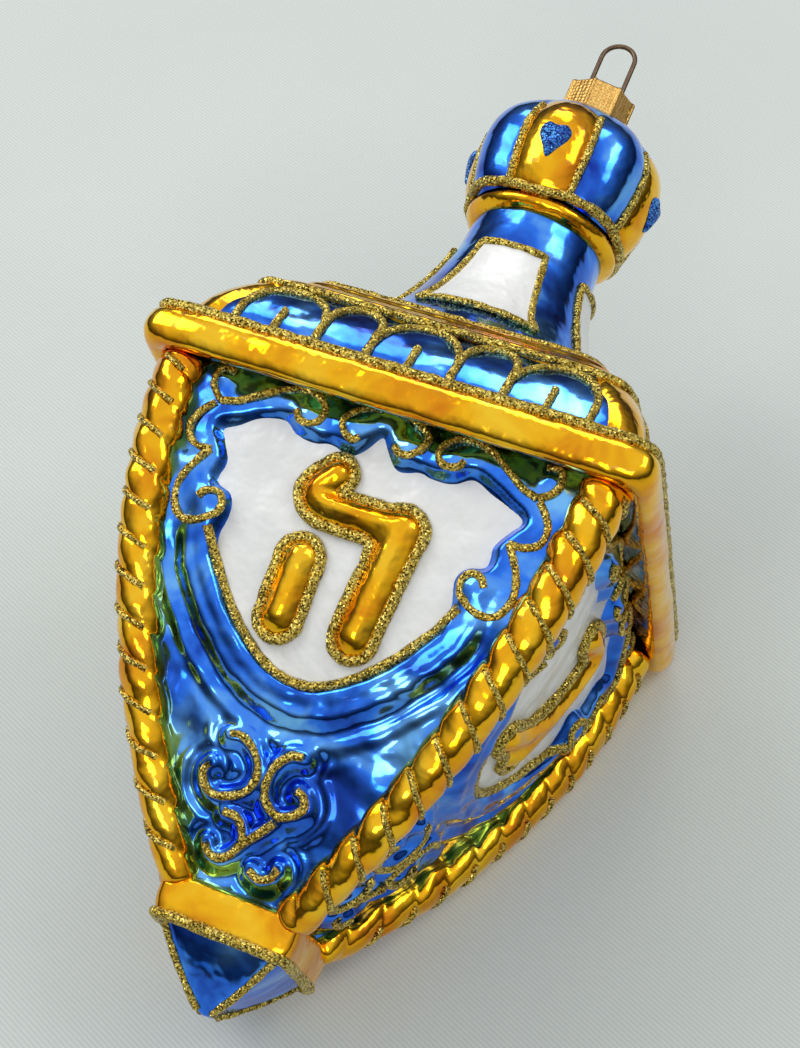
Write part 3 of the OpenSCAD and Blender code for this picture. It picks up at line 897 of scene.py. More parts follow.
@dataclass
class Body:
    """The four-sided body: relief faces, white fields, marks, rope columns."""

    col_foot: float = 9.0
    col_head: float = 31.6
    col_bow: float = 5.0
    face_in: float = 0.8
    face_top: float = 82.0
    rope_head: float = 3.7
    rope_foot: float = 3.0
    turns: int = 13
    strand: float = 0.52
    dent: float = 0.28
    end: float = 1.2
    field_half: float = 19.3
    field_low: float = 43.4
    field_drop: float = 16.4
    field_full: float = 1.9
    roll: float = 1.7
    pillow: float = 2.4

    # One half of the ornament of a face, as distance from the middle and height.
    FIELD_EDGE = (
        (16.4, 55.4), (17.2, 58.6), (16.6, 62.2), (17.6, 64.3), (20.0, 65.3), (19.8, 68.2), (21.4, 71.0),
        (22.2, 72.4), (20.0, 73.6), (17.2, 75.1), (14.2, 76.0), (12.0, 74.6), (8.8, 74.2), (6.6, 74.6),
        (3.6, 74.1), (1.6, 75.6), (0.0, 77.6),
    )
    SCROLLS = (
        ((23.4, 80.3), (25.2, 80.4), (25.9, 78.8), (25.4, 77.2), (23.7, 75.6)),
        (
            (23.6, 75.6), (21.0, 76.5), (17.8, 78.6), (15.0, 80.2), (12.5, 80.8), (10.2, 80.3), (8.8, 78.7),
            (9.0, 76.8), (10.5, 76.0), (11.9, 76.4), (12.5, 77.4),
        ),
        ((24.2, 75.2), (25.8, 73.4), (26.5, 71.4), (26.0, 69.6), (24.2, 68.6), (22.2, 68.6)),
        (
            (22.2, 68.6), (23.6, 66.6), (24.8, 64.2), (25.1, 61.8), (24.2, 59.6), (22.4, 58.6), (20.2, 58.9),
            (18.3, 60.3), (17.9, 62.1), (18.9, 63.2), (20.4, 62.9), (21.2, 61.8),
        ),
    )
    # Both halves of the curl over the field and of the flourish below it.
    MIDDLE = (
        (-2.7, 76.4), (-3.6, 75.8), (-4.9, 76.4), (-5.6, 77.8), (-5.0, 79.4), (-3.0, 80.8), (0.0, 81.8),
        (3.0, 81.4), (5.4, 80.4), (6.6, 78.9), (6.2, 77.2), (4.9, 76.0), (3.4, 75.9), (2.5, 76.7),
    )
    FLOURISH = (
        (
            (-6.5, 34.4), (-4.7, 34.6), (-2.8, 33.6), (-1.5, 32.0), (-1.2, 30.2), (-2.2, 28.2), (-4.4, 26.9),
            (-6.6, 26.5), (-8.3, 27.4), (-8.8, 29.0), (-8.2, 30.0),
        ),
        (
            (4.4, 34.6), (2.6, 34.2), (1.1, 32.6), (0.4, 30.4), (0.8, 28.0), (2.7, 26.7), (4.9, 27.2),
            (6.4, 28.6), (5.8, 30.0), (4.8, 30.4),
        ),
        ((2.9, 25.8), (1.1, 23.8), (-0.8, 21.9), (-2.2, 20.2), (-3.9, 19.3), (-5.4, 19.6), (-6.0, 20.6)),
        ((-4.5, 25.0), (-2.6, 24.9), (-1.4, 23.8), (-0.8, 21.9)),
        ((1.0, 19.2), (2.7, 18.6), (4.3, 19.2), (5.0, 20.6)),
    )
    # Lumps of the blown glass, as width and height: all over a face, and added on its lower part.
    BROAD = (9.0, 0.5)
    DENTS = ((4.5, 0.45), (2.4, 0.16))
    # The bumps in the curls, as distance from the middle, height and radius.
    CURLS = ((10.8, 77.6, 2.0), (24.4, 78.9, 1.4), (20.2, 61.4, 2.2), (4.4, 77.6, 1.9))

    def __post_init__(self) -> None:
        """Draws the lines of the ornament once."""
        low = np.linspace(0, 15.4, 30)
        half = np.vstack([np.stack([low, self.bowl(low)], axis=-1), flowing(self.FIELD_EDGE, 0.35)])
        self.field = np.vstack([half, (half * (-1, 1))[::-1][1:-1]])
        self.scrolls = [flowing(s) for s in self.SCROLLS]
        self.scrolls += [s * (-1, 1) for s in self.scrolls]
        self.scrolls.append(flowing(self.MIDDLE))
        self.flourish = [flowing(s) for s in self.FLOURISH]
        across = np.linspace(-18.7, 18.7, 110)
        self.under = np.stack([across, self.bowl(across) - 0.3], axis=-1)
        self.laid: tuple[Spots, Spots] | None = None
        self.mark_rims: dict[Side, list[Spots]] = {}

    def bowl(self, across: Spots) -> Spots:
        """Height of the lower edge of the white field."""
        return self.field_low + self.field_drop * (np.abs(across) / self.field_half) ** self.field_full

    def col(self, z: Spots) -> Spots:
        """Distance of the column middles from the axis, along X and along Y."""
        t = (z - LEVELS.body) / (LEVELS.cornice - LEVELS.body)
        return self.col_foot + (self.col_head - self.col_foot) * t + 4 * self.col_bow * t * (1 - t)

    def plain(self, z: Spots) -> Spots:
        """Distance of the plain face from the axis."""
        return self.col(z) - self.face_in

    def relief(self, spots: Spots) -> Spots:
        """Models the moulded ornament of a face.

        Args:
            spots: Flat spots on the face.

        Returns:
            The height over the plain face.
        """
        away = outside(spots, self.field)
        z = spots[:, 1]
        low_part = ease((60 - z) / 6)
        # The roll round the field with the hollow beyond it, and ripples in the lower part.
        high = self.roll * ease((away + 0.2) / 1.9) - (0.6 + 0.9 * low_part) * ease((away - 2.6) / 4.0)
        high += low_part * 0.35 * np.sin(away * 1.75) * ease((away - 2) / 2) * ease((11 - away) / 3)
        for x, y, r in self.CURLS:
            for s in (-1, 1):
                high += 0.9 * np.exp(-((spots - (s * x, y)) ** 2).sum(axis=1) / (r * r))
        if (z < 38).any():
            # A ridge under the flourish, and ripples that run along it.
            tight = np.min([nearest(spots, f) for f in self.flourish], axis=0)
            ripples = 0.35 * np.sin(tight * 2.2) * ease((5 - tight) / 2)
            high += ease((37.5 - z) / 3) * (np.exp(-((tight / 1.5) ** 2)) + ripples)
        return np.where(away < 0, np.minimum(high, 0.1) - 0.3 * ease(-away / 0.6), high)

    def surface(self, spots: Spots) -> Spots:
        """Distance of the finished face from the axis."""
        return self.plain(spots[:, 1]) + self.relief(spots)

    def lines(self, side: Side, lines: Sequence[Spots], lift: float) -> list[Spots]:
        """Lays flat lines on one face."""
        return [side.place(n[:, 0], self.surface(n) + lift, n[:, 1]) for n in lines]

    def face(self, side: Side, u: Spots, v: Spots) -> Spots:
        """Places spots of one face, worked out once for all four.

        Args:
            side: Which face.
            u: Shares across the face.
            v: Shares up the face.

        Returns:
            The places in millimetres.
        """
        if self.laid is None:
            z = LEVELS.body + (self.face_top - LEVELS.body) * v
            flat = np.stack([(2 * u - 1) * self.col(z), z], axis=-1)
            out = self.surface(flat)
            rough = np.column_stack([flat, out])
            dents = sum(lumps(rough, *dent) for dent in self.DENTS)
            self.laid = flat, out + lumps(rough, *self.BROAD) + ease((58 - z) / 10) * dents
        flat, out = self.laid
        return side.place(flat[:, 0], out, flat[:, 1])

    def rope(self, corner: int, angle: Spots, up: Spots, lift: float, fill: Spots | float = 1.0) -> Spots:
        """Places spots on one rope column.

        Args:
            corner: Which corner, counted from the front right.
            angle: Direction round the column, 0 outwards.
            up: Height above the tip.
            lift: Height over the skin of the column.
            fill: Share of the full radius, 0 where an end closes.

        Returns:
            The places in millimetres.
        """
        turn = math.radians(-45 + 90 * corner)
        out_way = np.array([math.cos(turn), math.sin(turn)])
        side_way = np.array([-math.sin(turn), math.cos(turn)])
        tilt = np.arctan((self.col(up + 0.5) - self.col(up - 0.5)) * math.sqrt(2))
        share = (up - LEVELS.body) / (LEVELS.cornice - LEVELS.body)
        phase = share * self.turns + angle / math.pi
        bulge = np.abs(np.sin(math.pi * phase)) ** 0.6
        r = self.rope_foot + (self.rope_head - self.rope_foot) * share - self.strand * (1 - bulge) + lift
        r += lumps(np.column_stack([r * np.cos(angle) + 40 * corner, r * np.sin(angle), up]), 2.6, self.dent)
        r *= fill
        away = self.col(up) * math.sqrt(2) + r * np.cos(angle) * np.cos(tilt)
        flat = away[:, None] * out_way + (r * np.sin(angle))[:, None] * side_way
        return np.column_stack([flat, up - r * np.cos(angle) * np.sin(tilt)])

    def column(self, corner: int, u: Spots, v: Spots) -> Spots:
        """Places spots of one column, whose ends are round and closed.

        Args:
            corner: Which corner.
            u: Shares round the column.
            v: Shares up the column.

        Returns:
            The places in millimetres.
        """
        low, high = LEVELS.body - self.end, LEVELS.cornice + self.end
        up = low + (high - low) * v
        near = np.clip(np.minimum(up - low, high - up) / self.end, 0, 1)
        return self.rope(corner, ROUND * (u - 0.5), up, 0.0, np.sqrt(1 - (1 - near) ** 2))

    def strokes(self) -> list[Spots]:
        """Draws the glitter strokes in the grooves of the columns.

        Returns:
            The middle of each stroke.
        """
        low, high = LEVELS.body, LEVELS.cornice
        angle = np.linspace(-1.25, 1.25, 24)
        found = []
        for corner in range(4):
            for groove in range(1, self.turns + 1):
                up = low + (high - low) * (groove - angle / math.pi) / self.turns
                keep = (up > low + 0.5) & (up < high - 0.5)
                if keep.sum() > 6:
                    found.append(self.rope(corner, angle[keep], up[keep], 0.3))
        return found

    def build_mark(self, side: Side, finish: Palette) -> None:
        """Builds the raised mark of one face and keeps its rims.

        Args:
            side: Which face.
            finish: The finishes.
        """
        outline = MARKS[side].outline
        bm = patch(outline, (-14, 14, 44, 76), 0.42)
        self.mark_rims[side] = [flowing(n[::2], 0.35, ring=True)[:-1] for n in rims(bm)]
        spot = flat_spots(bm)
        deep = np.clip(-outline(spot) / 2.5, 0, 1)
        ridge = 0.5 * deep + 0.5 * np.sqrt(1 - (1 - deep) ** 2)
        high = self.plain(spot[:, 1]) + 0.2 + self.pillow * ridge
        move(bm.verts, side.place(spot[:, 0], high, spot[:, 1]))
        glass(finished(f"mark_{side.label}", bm), finish.gold)

    def build(self, finish: Palette) -> None:
        """Builds the faces, the marks and the columns.

        Args:
            finish: The finishes.
        """
        for side in Side:
            glass(sheets(f"face_{side.label}", 150, 180, [partial(self.face, side)]), finish.blue)
            self.build_mark(side, finish)
        columns = [partial(self.column, corner) for corner in range(4)]
        glass(sheets("rope_columns", 40, 200, columns), finish.gold)

    def dress(self, finish: Palette) -> None:
        """Lays the white fields and all the glitter of the body.

        Args:
            finish: The finishes.
        """
        field = patch(lambda p: outside(p, self.field) - 0.5, (-24, 24, 42, 80), 0.5)
        spot = flat_spots(field)
        uneven = lumps(np.column_stack([spot, np.zeros(len(spot))]), 5.0, 0.3)
        white = self.plain(spot[:, 1]) + 0.25 + uneven
        trims = (
            ("scroll", self.scrolls, 0.15, Bead.SCROLL, "scroll_glitter"),
            ("field", [self.under], 0.3, Bead.FIELD, "panel_outline_glitter"),
            ("flourish", self.flourish, 0.2, Bead.FLOURISH, "scroll_glitter"),
        )
        for side in Side:
            bm = field.copy()
            move(bm.verts, side.place(spot[:, 0], white, spot[:, 1]))
            piece = finished(f"white_field_{side.label}", bm)
            enrol(piece, finish.enamel, "white_enamel", "shell", "panel_enamel")
            for name, lines, lift, bead, node in trims:
                glitter(f"{name}_glitter_{side.label}", self.lines(side, lines, lift), bead, finish, node)
            edges = [side.place(n[:, 0], self.plain(n[:, 1]) + 0.75, n[:, 1]) for n in self.mark_rims[side]]
            glitter(f"mark_glitter_{side.label}", edges, Bead.BOLD, finish, "mark_glitter", rings=True)
        field.free()
        glitter("column_glitter", self.strokes(), Bead.COLUMN, finish, "scroll_glitter")


@dataclass
class Roof:
    """The cornice, the hipped roof with its arcades and the deck under the stem."""

    foot: float = 34.8
    head: float = 22.6
    hip: float = 4.6
    rail: float = 5.2
    deep: float = 0.75
    sharp: float = 12.0
    lip_sharp: float = 22
    lip_edge: float = 37.1
    arch_wide: float = 12.6
    arch_slim: float = 7.8
    arch_top: float = 96.2
    arch_foot: float = 86.4
    post_top: float = 91.4

    # The lip of the cornice, as half-width and height above its foot.
    LIP = (
        (30.6, 2.8), (33.4, 1.2), (35.8, 0.1), (37.3, 0.3), (38.2, 1.7),
        (38.3, 3.4), (37.9, 4.9), (36.9, 6.0), (35.2, 6.2), (34.0, 5.7),
    )

    @property
    def top(self) -> float:
        """Height of the upper edge of the arcades."""
        return LEVELS.deck - self.rail

    def out(self, z: Spots) -> Spots:
        """Half-width of the roof at a height."""
        t = np.clip((z - LEVELS.roof) / (LEVELS.deck - LEVELS.roof), 0, 1)
        return self.foot + (self.head - self.foot) * t * t

    def on_slope(self, side: Side, across: Spots, z: Spots, lift: float) -> Spots:
        """Places spots on one slope of the roof."""
        return side.place(across, square_depth(self.out(z) + lift, across, self.sharp), z)

    def skin(self, u: Spots, v: Spots) -> Spots:
        """Places spots of the gold roof, sunk where the arcades are and rolled above them.

        Args:
            u: Shares round the roof.
            v: Shares up the roof.

        Returns:
            The places in millimetres.
        """
        angle = ROUND * u
        z = LEVELS.roof - 0.2 + (LEVELS.deck - LEVELS.roof + 0.2) * v
        norm = square_norm(angle, self.sharp)
        half = self.out(z)
        across = np.minimum(np.abs(np.cos(angle)), np.abs(np.sin(angle))) / norm * half
        inset = np.minimum(half - self.hip - across, np.minimum(z - LEVELS.roof - 0.7, self.top - z))
        lift = 0.35 - (self.deep + 0.35) * ease(inset / 0.7)
        lift = lift + 0.35 * np.cos((z - self.top - 2.0) * 2.4) * ease((z - self.top) / 0.8)
        return around((half + lift) / norm, angle, z)

    def field(self, side: Side, u: Spots, v: Spots) -> Spots:
        """Places spots of one sunk field.

        Args:
            side: Which slope.
            u: Shares across the field.
            v: Shares up the field.

        Returns:
            The places in millimetres.
        """
        z = LEVELS.roof + 0.9 + (self.top - LEVELS.roof - 1.1) * v
        across = (2 * u - 1) * (self.out(z) - self.hip - 0.1)
        return swell(self.on_slope(side, across, z, -self.deep + 0.3), 4.0, 0.25)

    def arch(self, middle: float, width: float) -> Spots:
        """Draws one arch on a slope.

        Args:
            middle: Distance of its middle from the middle of the slope.
            width: Its width.

        Returns:
            The flat line of the arch.
        """
        r = width / 2 - 0.1
        turn = np.linspace(math.pi, 0, 40)[::3]
        bow = np.stack([middle + r * np.cos(turn), self.arch_top - r + r * np.sin(turn)], axis=-1)
        return flowing([(middle - r, self.arch_foot), *map(tuple, bow), (middle + r, self.arch_foot)], 0.4)

    def build(self, finish: Palette) -> None:
        """Builds the cornice, the roof, its blue fields and the deck.

        Args:
            finish: The finishes.
        """
        lip = round_square([(w, LEVELS.cornice + z) for w, z in self.LIP], self.lip_sharp, 0.22)
        glass(sheets("cornice_glass", 320, 64, [lip]), finish.gold)
        glass(sheets("roof_glass", 320, 72, [self.skin]), finish.gold)
        glass(sheets("roof_fields", 90, 20, [partial(self.field, side) for side in Side]), finish.blue)
        z = LEVELS.deck
        deck = round_square([(self.head, z - 0.1), (self.head - 1.0, z + 0.1), (12.0, z + 0.2)], self.sharp)
        glass(sheets("deck_glass", 160, 10, [deck]), finish.blue)

    def dress(self, finish: Palette) -> None:
        """Lays the glitter of the arches, the cornice and the rail.

        Args:
            finish: The finishes.
        """
        step = (self.arch_wide + self.arch_slim) / 2
        flat = [self.arch(step * i, self.arch_slim if i % 2 else self.arch_wide) for i in range(-2, 3)]
        posts = np.linspace(self.arch_foot, self.post_top, 16)
        flat += [np.array([(step * i, z) for z in posts]) for i in (-2, 0, 2)]
        lines = [self.on_slope(side, n[:, 0], n[:, 1], -self.deep + 0.55) for side in Side for n in flat]
        glitter("arch_glitter", lines, Bead.ARCH, finish, "roof_arch_glitter")
        edge = square_ring(self.lip_edge, LEVELS.roof + 0.3, self.lip_sharp, 700)
        glitter("cornice_glitter", [edge], Bead.BOLD, finish, "cornice_glitter_line", rings=True)
        foot = float(self.out(np.array(self.top))) + 0.3
        rail = [
            square_ring(foot, self.top + 0.2, self.sharp, 700),
            square_ring(self.head + 0.1, LEVELS.deck, self.sharp, 700),
        ]
        glitter("roof_rim_glitter_lines", rail, Bead.RAIL, finish, "roof_rim_glitter", rings=True)


@dataclass
class Stem:
    """The flared stem with its four white fields."""

    foot: float = 22.0
    head: float = 10.8
    flare: float = 2.2
    field_foot: float = 9.5
    field_head: float = 5.2
    field_up: float = 5.5
    field_h: float = 14.5
    bulge: float = 0.5

    def out(self, z: Spots) -> Spots:
        """Radius of the stem at a height."""
        t = np.clip((z - LEVELS.deck) / (LEVELS.ring - LEVELS.deck), 0, 1)
        return self.head + (self.foot - self.head) * (1 - t) ** self.flare

    def skin(self, u: Spots, v: Spots) -> Spots:
        """Places spots of the stem, a little fuller between the fields.

        Args:
            u: Shares round the stem.
            v: Shares up the stem.

        Returns:
            The places in millimetres.
        """
        angle = ROUND * u
        z = LEVELS.deck + (LEVELS.ring - LEVELS.deck) * v
        full = np.abs(np.sin(2 * angle)) ** 2 * np.sin(math.pi * np.clip(v, 0, 1))
        return swell(around(self.out(z) + self.bulge * full, angle, z), 6.0, 0.2)

    def edge(self) -> Spots:
        """Draws the closed line round one white field.

        Returns:
            The flat line.
        """
        share = np.linspace(0, 1, 12)
        across = self.field_foot + (self.field_head - self.field_foot) * np.sqrt(share)
        right = np.stack([across, LEVELS.deck + self.field_up + self.field_h * share], axis=-1)
        ring = np.vstack([right, (right * (-1, 1))[::-1], right[:1]])
        return spaced(ring, np.linspace(0, run_length(ring)[-1], 150, endpoint=False))

    def on_skin(self, side: Side, spots: Spots, lift: float) -> Spots:
        """Places flat spots on one side of the stem."""
        out = np.sqrt(np.maximum((self.out(spots[:, 1]) + lift) ** 2 - spots[:, 0] ** 2, 0.01))
        return side.place(spots[:, 0], out, spots[:, 1])

    def build(self, finish: Palette) -> None:
        """Builds the glass of the stem."""
        glass(sheets("stem_glass", 128, 60, [self.skin]), finish.blue)

    def dress(self, finish: Palette) -> None:
        """Lays the white fields and their glitter frames.

        Args:
            finish: The finishes.
        """
        edge = self.edge()
        for side in Side:
            bm = patch(lambda p: outside(p, edge), (-10, 10, LEVELS.deck + 5, LEVELS.deck + 21), 0.5)
            move(bm.verts, self.on_skin(side, flat_spots(bm), 0.5))
            piece = finished(f"stem_field_{side.label}", bm)
            enrol(piece, finish.enamel, "white_enamel", "shell", "stem_enamel")
        frames = [self.on_skin(side, edge, 0.55) for side in Side]
        glitter("stem_field_glitter", frames, Bead.SCROLL, finish, "stem_panel_glitter", rings=True)


@dataclass
class Crown:
    """The lobed crown on its rolled ring, with the neck above it."""

    lobes: int = 8
    valley: float = 1.3
    gold_top: float = 148.6
    drop_half: float = 2.5
    drop_z: float = 140.0
    drop_high: float = 0.9
    drop_out: float = 15.0
    core: float = 139.0
    neck_r: float = 4.5
    bore: float = 3.6

    CREST = (
        (12.3, 131.9), (13.5, 133.0), (14.6, 135.2), (15.2, 138.0), (15.5, 141.5), (15.2, 144.6),
        (14.1, 147.2), (12.2, 149.3), (9.6, 151.1), (6.6, 152.4), (4.7, 152.9),
    )
    # The roll under the crown, as radius and height above its foot.
    ROLL = ((10.6, -0.2), (11.5, 0.1), (12.4, 0.9), (12.6, 1.6), (12.2, 2.4), (11.4, 2.9))
    HEART = (
        (0, -3.0), (1.1, -1.4), (2.1, 0.3), (2.2, 1.6), (1.3, 2.5),
        (0, 2.2), (-1.3, 2.5), (-2.2, 1.6), (-2.1, 0.3), (-1.1, -1.4),
    )

    def __post_init__(self) -> None:
        """Draws the outline of the lobes and of the drops once."""
        self.line = flowing(self.CREST, 0.15)
        self.length = run_length(self.line)
        self.pitch = ROUND / self.lobes
        self.high = self.at(self.gold_top)
        self.drop_edge = flowing(self.HEART, 0.2, ring=True)[:-1] * self.drop_half / 2.3

    def at(self, z: float) -> float:
        """Length along the outline at a height."""
        return float(np.interp(z, self.line[:, 1], self.length))

    def skin(self, angle: Spots, along: Spots, lift: float) -> Spots:
        """Places spots on the crown.

        Args:
            angle: Direction round the axis, in radians.
            along: Length along the outline from the foot.
            lift: Height over the glass.

        Returns:
            The places in millimetres.
        """
        side = np.abs((angle / self.pitch + 0.5) % 1 - 0.5) * 2
        out = np.interp(along, self.length, self.line[:, 0])
        z = np.interp(along, self.length, self.line[:, 1])
        fade = ease((152.0 - z) / 5) * (0.45 + 0.55 * ease((z - LEVELS.crown) / 4))
        slope = np.gradient(self.line, axis=0)
        slope = slope / np.linalg.norm(slope, axis=1)[:, None]
        over_out = np.interp(along, self.length, slope[:, 1])
        over_up = np.interp(along, self.length, -slope[:, 0])
        lift = lift - self.valley * side**2 * fade
        return around(out + lift * over_out, angle, z + lift * over_up)

    def lobe(self, which: int, u: Spots, v: Spots) -> Spots:
        """Places spots of one lobe."""
        return self.skin(self.pitch * (which + u - 0.5), self.high * v, 0.0)

    def dome(self, u: Spots, v: Spots) -> Spots:
        """Places spots of the dome over the lobes."""
        low = self.high - 0.1
        return self.skin(ROUND * u, low + (self.length[-1] - low) * v, 0.0)

    def heart(self, spots: Spots) -> Spots:
        """Distance outside the drop, which is round above and pointed below."""
        return outside(spots, self.drop_edge)

    def build(self, finish: Palette) -> None:
        """Builds the lobes, the dome, the ring and the neck.

        Args:
            finish: The finishes.
        """
        for name, first, lacquer in (("gold_lobes", 0, finish.gold), ("blue_lobes", 1, finish.blue)):
            places = [partial(self.lobe, which) for which in range(first, self.lobes, 2)]
            glass(sheets(name, 24, 48, places), lacquer)
        glass(sheets("crown_dome", 128, 16, [self.dome]), finish.blue)
        glass(turned("crown_ring", [(r, LEVELS.ring + z) for r, z in self.ROLL]), finish.gold)
        n, bore, top = self.neck_r, self.bore, LEVELS.neck_top
        wall = [(n + 0.3, 152.6), (n, 153.2), (n, top - 0.3), (n - 0.3, top)]
        inside = [(bore + 0.2, top), (bore, top - 0.4), (bore, 146.0)]
        glass(turned("neck_glass", wall + inside), finish.silver)

    def dress(self, finish: Palette) -> None:
        """Lays the glitter ribs, the wavy band and the blue drops.

        Args:
            finish: The finishes.
        """
        along = np.linspace(1.2, self.high - 0.4, 60)
        ribs = [self.skin(np.full(60, self.pitch * (k + 0.5)), along, 0.15) for k in range(self.lobes)]
        glitter("crown_rib_lines", ribs, Bead.RAIL, finish, "crown_rib_glitter")
        angle = np.linspace(0, ROUND, 260, endpoint=False)
        wave = 0.9 + 0.45 * np.cos(angle * self.lobes / 2 + math.pi)
        band = [self.skin(angle, wave, 0.1)]
        glitter("crown_band_line", band, Bead.BOLD, finish, "crown_band_glitter", rings=True)
        drops = bmesh.new()
        for k in range(4):
            bm = patch(self.heart, (-3, 3, -3.6, 3.2), 0.25)
            spot = flat_spots(bm)
            raised = self.drop_high * np.sqrt(np.clip(-self.heart(spot) / 1.5, 0, 1)) + 0.05
            turn = math.radians(90 * k) + spot[:, 0] / self.drop_out
            places = self.skin(turn, self.at(self.drop_z) + spot[:, 1], 0.0)
            way = places - (0, 0, self.core)
            way = way / np.linalg.norm(way, axis=1)[:, None]
            move(bm.verts, places + way * raised[:, None])
            mesh = bpy.data.meshes.new("drop")
            bm.to_mesh(mesh)
            bm.free()
            drops.from_mesh(mesh)
            bpy.data.meshes.remove(mesh)
        enrol(finished("heart_drops", drops), finish.jewel, "blue_glitter", "shell", "crown_jewel_drops")


@dataclass
class Hanger:
    """The crimped cap and the wire loop."""

    flat: float = 5.25
    sides: int = 8
    turn: float = 17.0
    rib: float = 0.3
    sheet: float = 0.3
    edge: float = 0.7
    side_share: float = 0.62
    bend_share: float = 0.12

    def skin(self, u: Spots, v: Spots) -> Spots:
        """Places spots of the cap, from its scalloped rim to the middle of its top.

        Args:
            u: Shares round the cap.
            v: Shares along the sheet.

        Returns:
            The places in millimetres.
        """
        angle = ROUND * u
        pitch = ROUND / self.sides
        off = ((angle - math.radians(self.turn)) / pitch + 0.5) % 1 - 0.5
        rib = np.exp(-(((np.abs(off) - 0.5) * pitch / 0.06) ** 2))
        groove = np.exp(-(((np.abs(off) - 0.42) / 0.03) ** 2))
        low = LEVELS.cap + 0.45 * np.cos(off * pitch * self.sides) ** 2
        z = low + (LEVELS.cap_top - self.edge - low) * np.clip(v / self.side_share, 0, 1)
        out = self.flat / np.cos(off * pitch) + self.rib * (rib - 0.6 * groove)
        past = v - self.side_share
        bend = np.clip(past / self.bend_share, 0, 1) * math.pi / 2
        inner = np.clip((past - self.bend_share) / (1 - self.side_share - self.bend_share), 0, 1)
        out = (out - self.edge * (1 - np.cos(bend))) * (1 - inner)
        return around(out, angle, z + self.edge * np.sin(bend) - 0.02)

    def build(self, finish: Palette) -> None:
        """Builds the cap.

        Args:
            finish: The finishes.
        """
        cap = sheets("crimped_cap", 192, 60, [self.skin])
        wall = cap.modifiers.new("sheet", "SOLIDIFY")
        wall.thickness = self.sheet * MM
        wall.offset = -1
        enrol(cap, finish.sheet, "cap_metal", "cap", "hanger_cap")

    def dress(self, finish: Palette) -> None:
        """Gives the wire of the part its finish.

        Args:
            finish: The finishes.
        """
        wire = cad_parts["hanger_wire"]
        wire.data.materials.clear()
        wire.data.materials.append(finish.wire)
        LOG.info("hanger_wire keeps its shape and gets its finish")


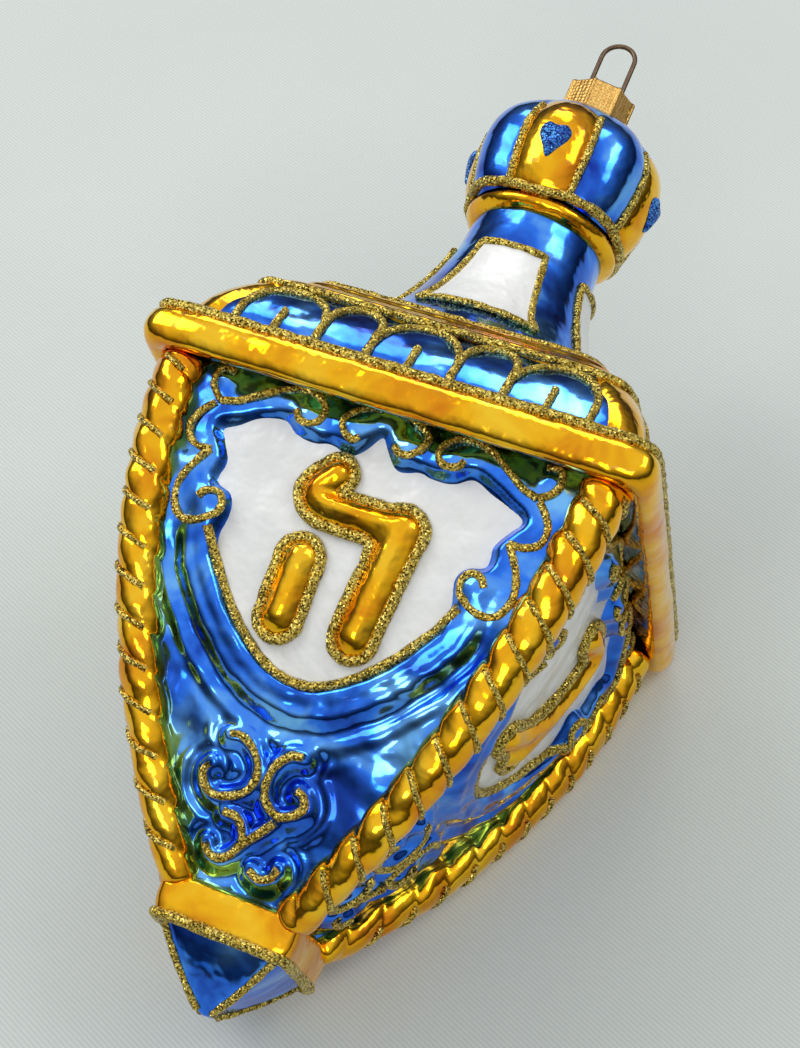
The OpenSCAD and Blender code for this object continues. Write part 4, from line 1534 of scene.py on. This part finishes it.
@dataclass
class Studio:
    """The cloth, the lamps and the camera. The ornament lies on its back."""

    up: tuple[float, float, float] = (0.0, -0.9636, 0.2672)
    contact: tuple[float, float, float] = (0.0, 38.6, 82.0)
    eye: tuple[float, float, float] = (85.17, -281.59, -22.66)
    right: tuple[float, float, float] = (0.9138, 0.1501, 0.3775)
    over: tuple[float, float, float] = (-0.2928, -0.4010, 0.8680)
    lens: float = 70.81
    sensor: float = 36.0
    backdrop: str = "#CDD3CF"
    cloth_half: float = 0.9
    middle: float = 0.085

    # Each lamp: place to the right, far and up from the middle in metres, width, height, power.
    LAMPS = {
        "key_window": ((-0.42, 0.30, 0.55), 0.40, 0.40, 2.2),
        "fill_window": ((0.45, 0.05, 0.50), 0.20, 0.40, 0.9),
        "top_panel": ((0.05, 0.55, 0.45), 0.40, 0.22, 0.9),
        "low_panel": ((-0.10, -0.50, 0.45), 0.34, 0.18, 0.8),
        "under_panel": ((0.10, 0.10, -0.60), 0.50, 0.50, 2.4),
    }

    def __post_init__(self) -> None:
        """Works out the directions of the cloth."""
        up, right = Vector(self.up).normalized(), Vector(self.right)
        right = (right - up * right.dot(up)).normalized()
        self.turn = Matrix((right, up.cross(right), up)).transposed()

    def lay_cloth(self, cloth: bpy.types.Material) -> None:
        """Lays the cloth under the ornament.

        Args:
            cloth: Its material.
        """
        bm = bmesh.new()
        bmesh.ops.create_grid(bm, x_segments=2, y_segments=2, size=self.cloth_half)
        bm.transform(Matrix.Translation(Vector(self.contact) * MM) @ self.turn.to_4x4())
        floor = finished("floor_cloth", bm)
        floor.data.materials.append(cloth)
        floor.visible_shadow = False

    def hang_lamps(self) -> None:
        """Hangs the lamps, which all face the middle of the ornament."""
        middle = Vector((0.0, 0.0, self.middle))
        for name, (place, wide, tall, power) in self.LAMPS.items():
            lamp = bpy.data.lights.new(name, "AREA")
            lamp.shape = "RECTANGLE"
            lamp.size, lamp.size_y, lamp.energy = wide, tall, power
            holder = bpy.data.objects.new(name, lamp)
            bpy.context.scene.collection.objects.link(holder)
            holder.visible_camera = False
            away = self.turn @ Vector(place)
            facing = (-away).to_track_quat("-Z", "Y").to_matrix().to_4x4()
            holder.matrix_world = Matrix.Translation(middle + away) @ facing

    def light_room(self) -> None:
        """Lights the room, dark below and bright above, with a pale backdrop for the camera."""
        world = bpy.data.worlds.new("studio")
        world.use_nodes = True
        tree = world.node_tree
        tree.nodes.clear()
        way = add_node(tree, "ShaderNodeTexCoord").outputs["Generated"]
        up = tuple(self.turn.col[2])
        height = add_node(tree, "ShaderNodeVectorMath", {0: way, 1: up}, operation="DOT_PRODUCT")
        level = add_node(tree, "ShaderNodeValToRGB", {"Fac": height.outputs["Value"]})
        dark, dim, bright = (0.03, 0.03, 0.033, 1), (0.22, 0.22, 0.23, 1), (1.0, 1.02, 1.05, 1)
        set_ramp(level, (0.0, dark), (0.3, dim), (0.8, bright))
        room = add_node(tree, "ShaderNodeBackground", {"Color": level.outputs["Color"], "Strength": 0.85})
        pale = add_node(tree, "ShaderNodeBackground", {"Color": to_linear(self.backdrop), "Strength": 1.0})
        seen = add_node(tree, "ShaderNodeLightPath").outputs["Is Camera Ray"]
        both = {0: seen, 1: room.outputs["Background"], 2: pale.outputs["Background"]}
        sky = add_node(tree, "ShaderNodeMixShader", both)
        add_node(tree, "ShaderNodeOutputWorld", {"Surface": sky.outputs[0]})
        bpy.context.scene.world = world

    def set_camera(self) -> None:
        """Sets the camera where the photograph was taken from."""
        data = bpy.data.cameras.new("camera")
        data.lens = self.lens
        data.sensor_width = self.sensor
        data.clip_start = 0.01
        camera = bpy.data.objects.new("camera", data)
        bpy.context.scene.collection.objects.link(camera)
        x, y = Vector(self.right).normalized(), Vector(self.over).normalized()
        facing = Matrix((x, y, x.cross(y))).transposed().to_4x4()
        camera.matrix_world = Matrix.Translation(Vector(self.eye) * MM) @ facing
        bpy.context.scene.camera = camera
        bpy.context.scene.view_settings.view_transform = "Standard"

    def build(self, finish: Palette) -> None:
        """Builds the stage.

        Args:
            finish: The finishes.
        """
        self.lay_cloth(finish.cloth)
        self.hang_lamps()
        self.light_room()
        self.set_camera()


def main() -> None:
    """Builds the ornament and its stage in order."""
    logging.basicConfig(level=logging.INFO, format="%(message)s")
    finish = Palette()
    for part in (Foot(), Body(), Roof(), Stem(), Crown(), Hanger()):
        part.build(finish)
        part.dress(finish)
        LOG.info("%s is built", type(part).__name__)
    Studio().build(finish)
    bpy.context.view_layer.update()


if __name__ == "__main__":
    main()
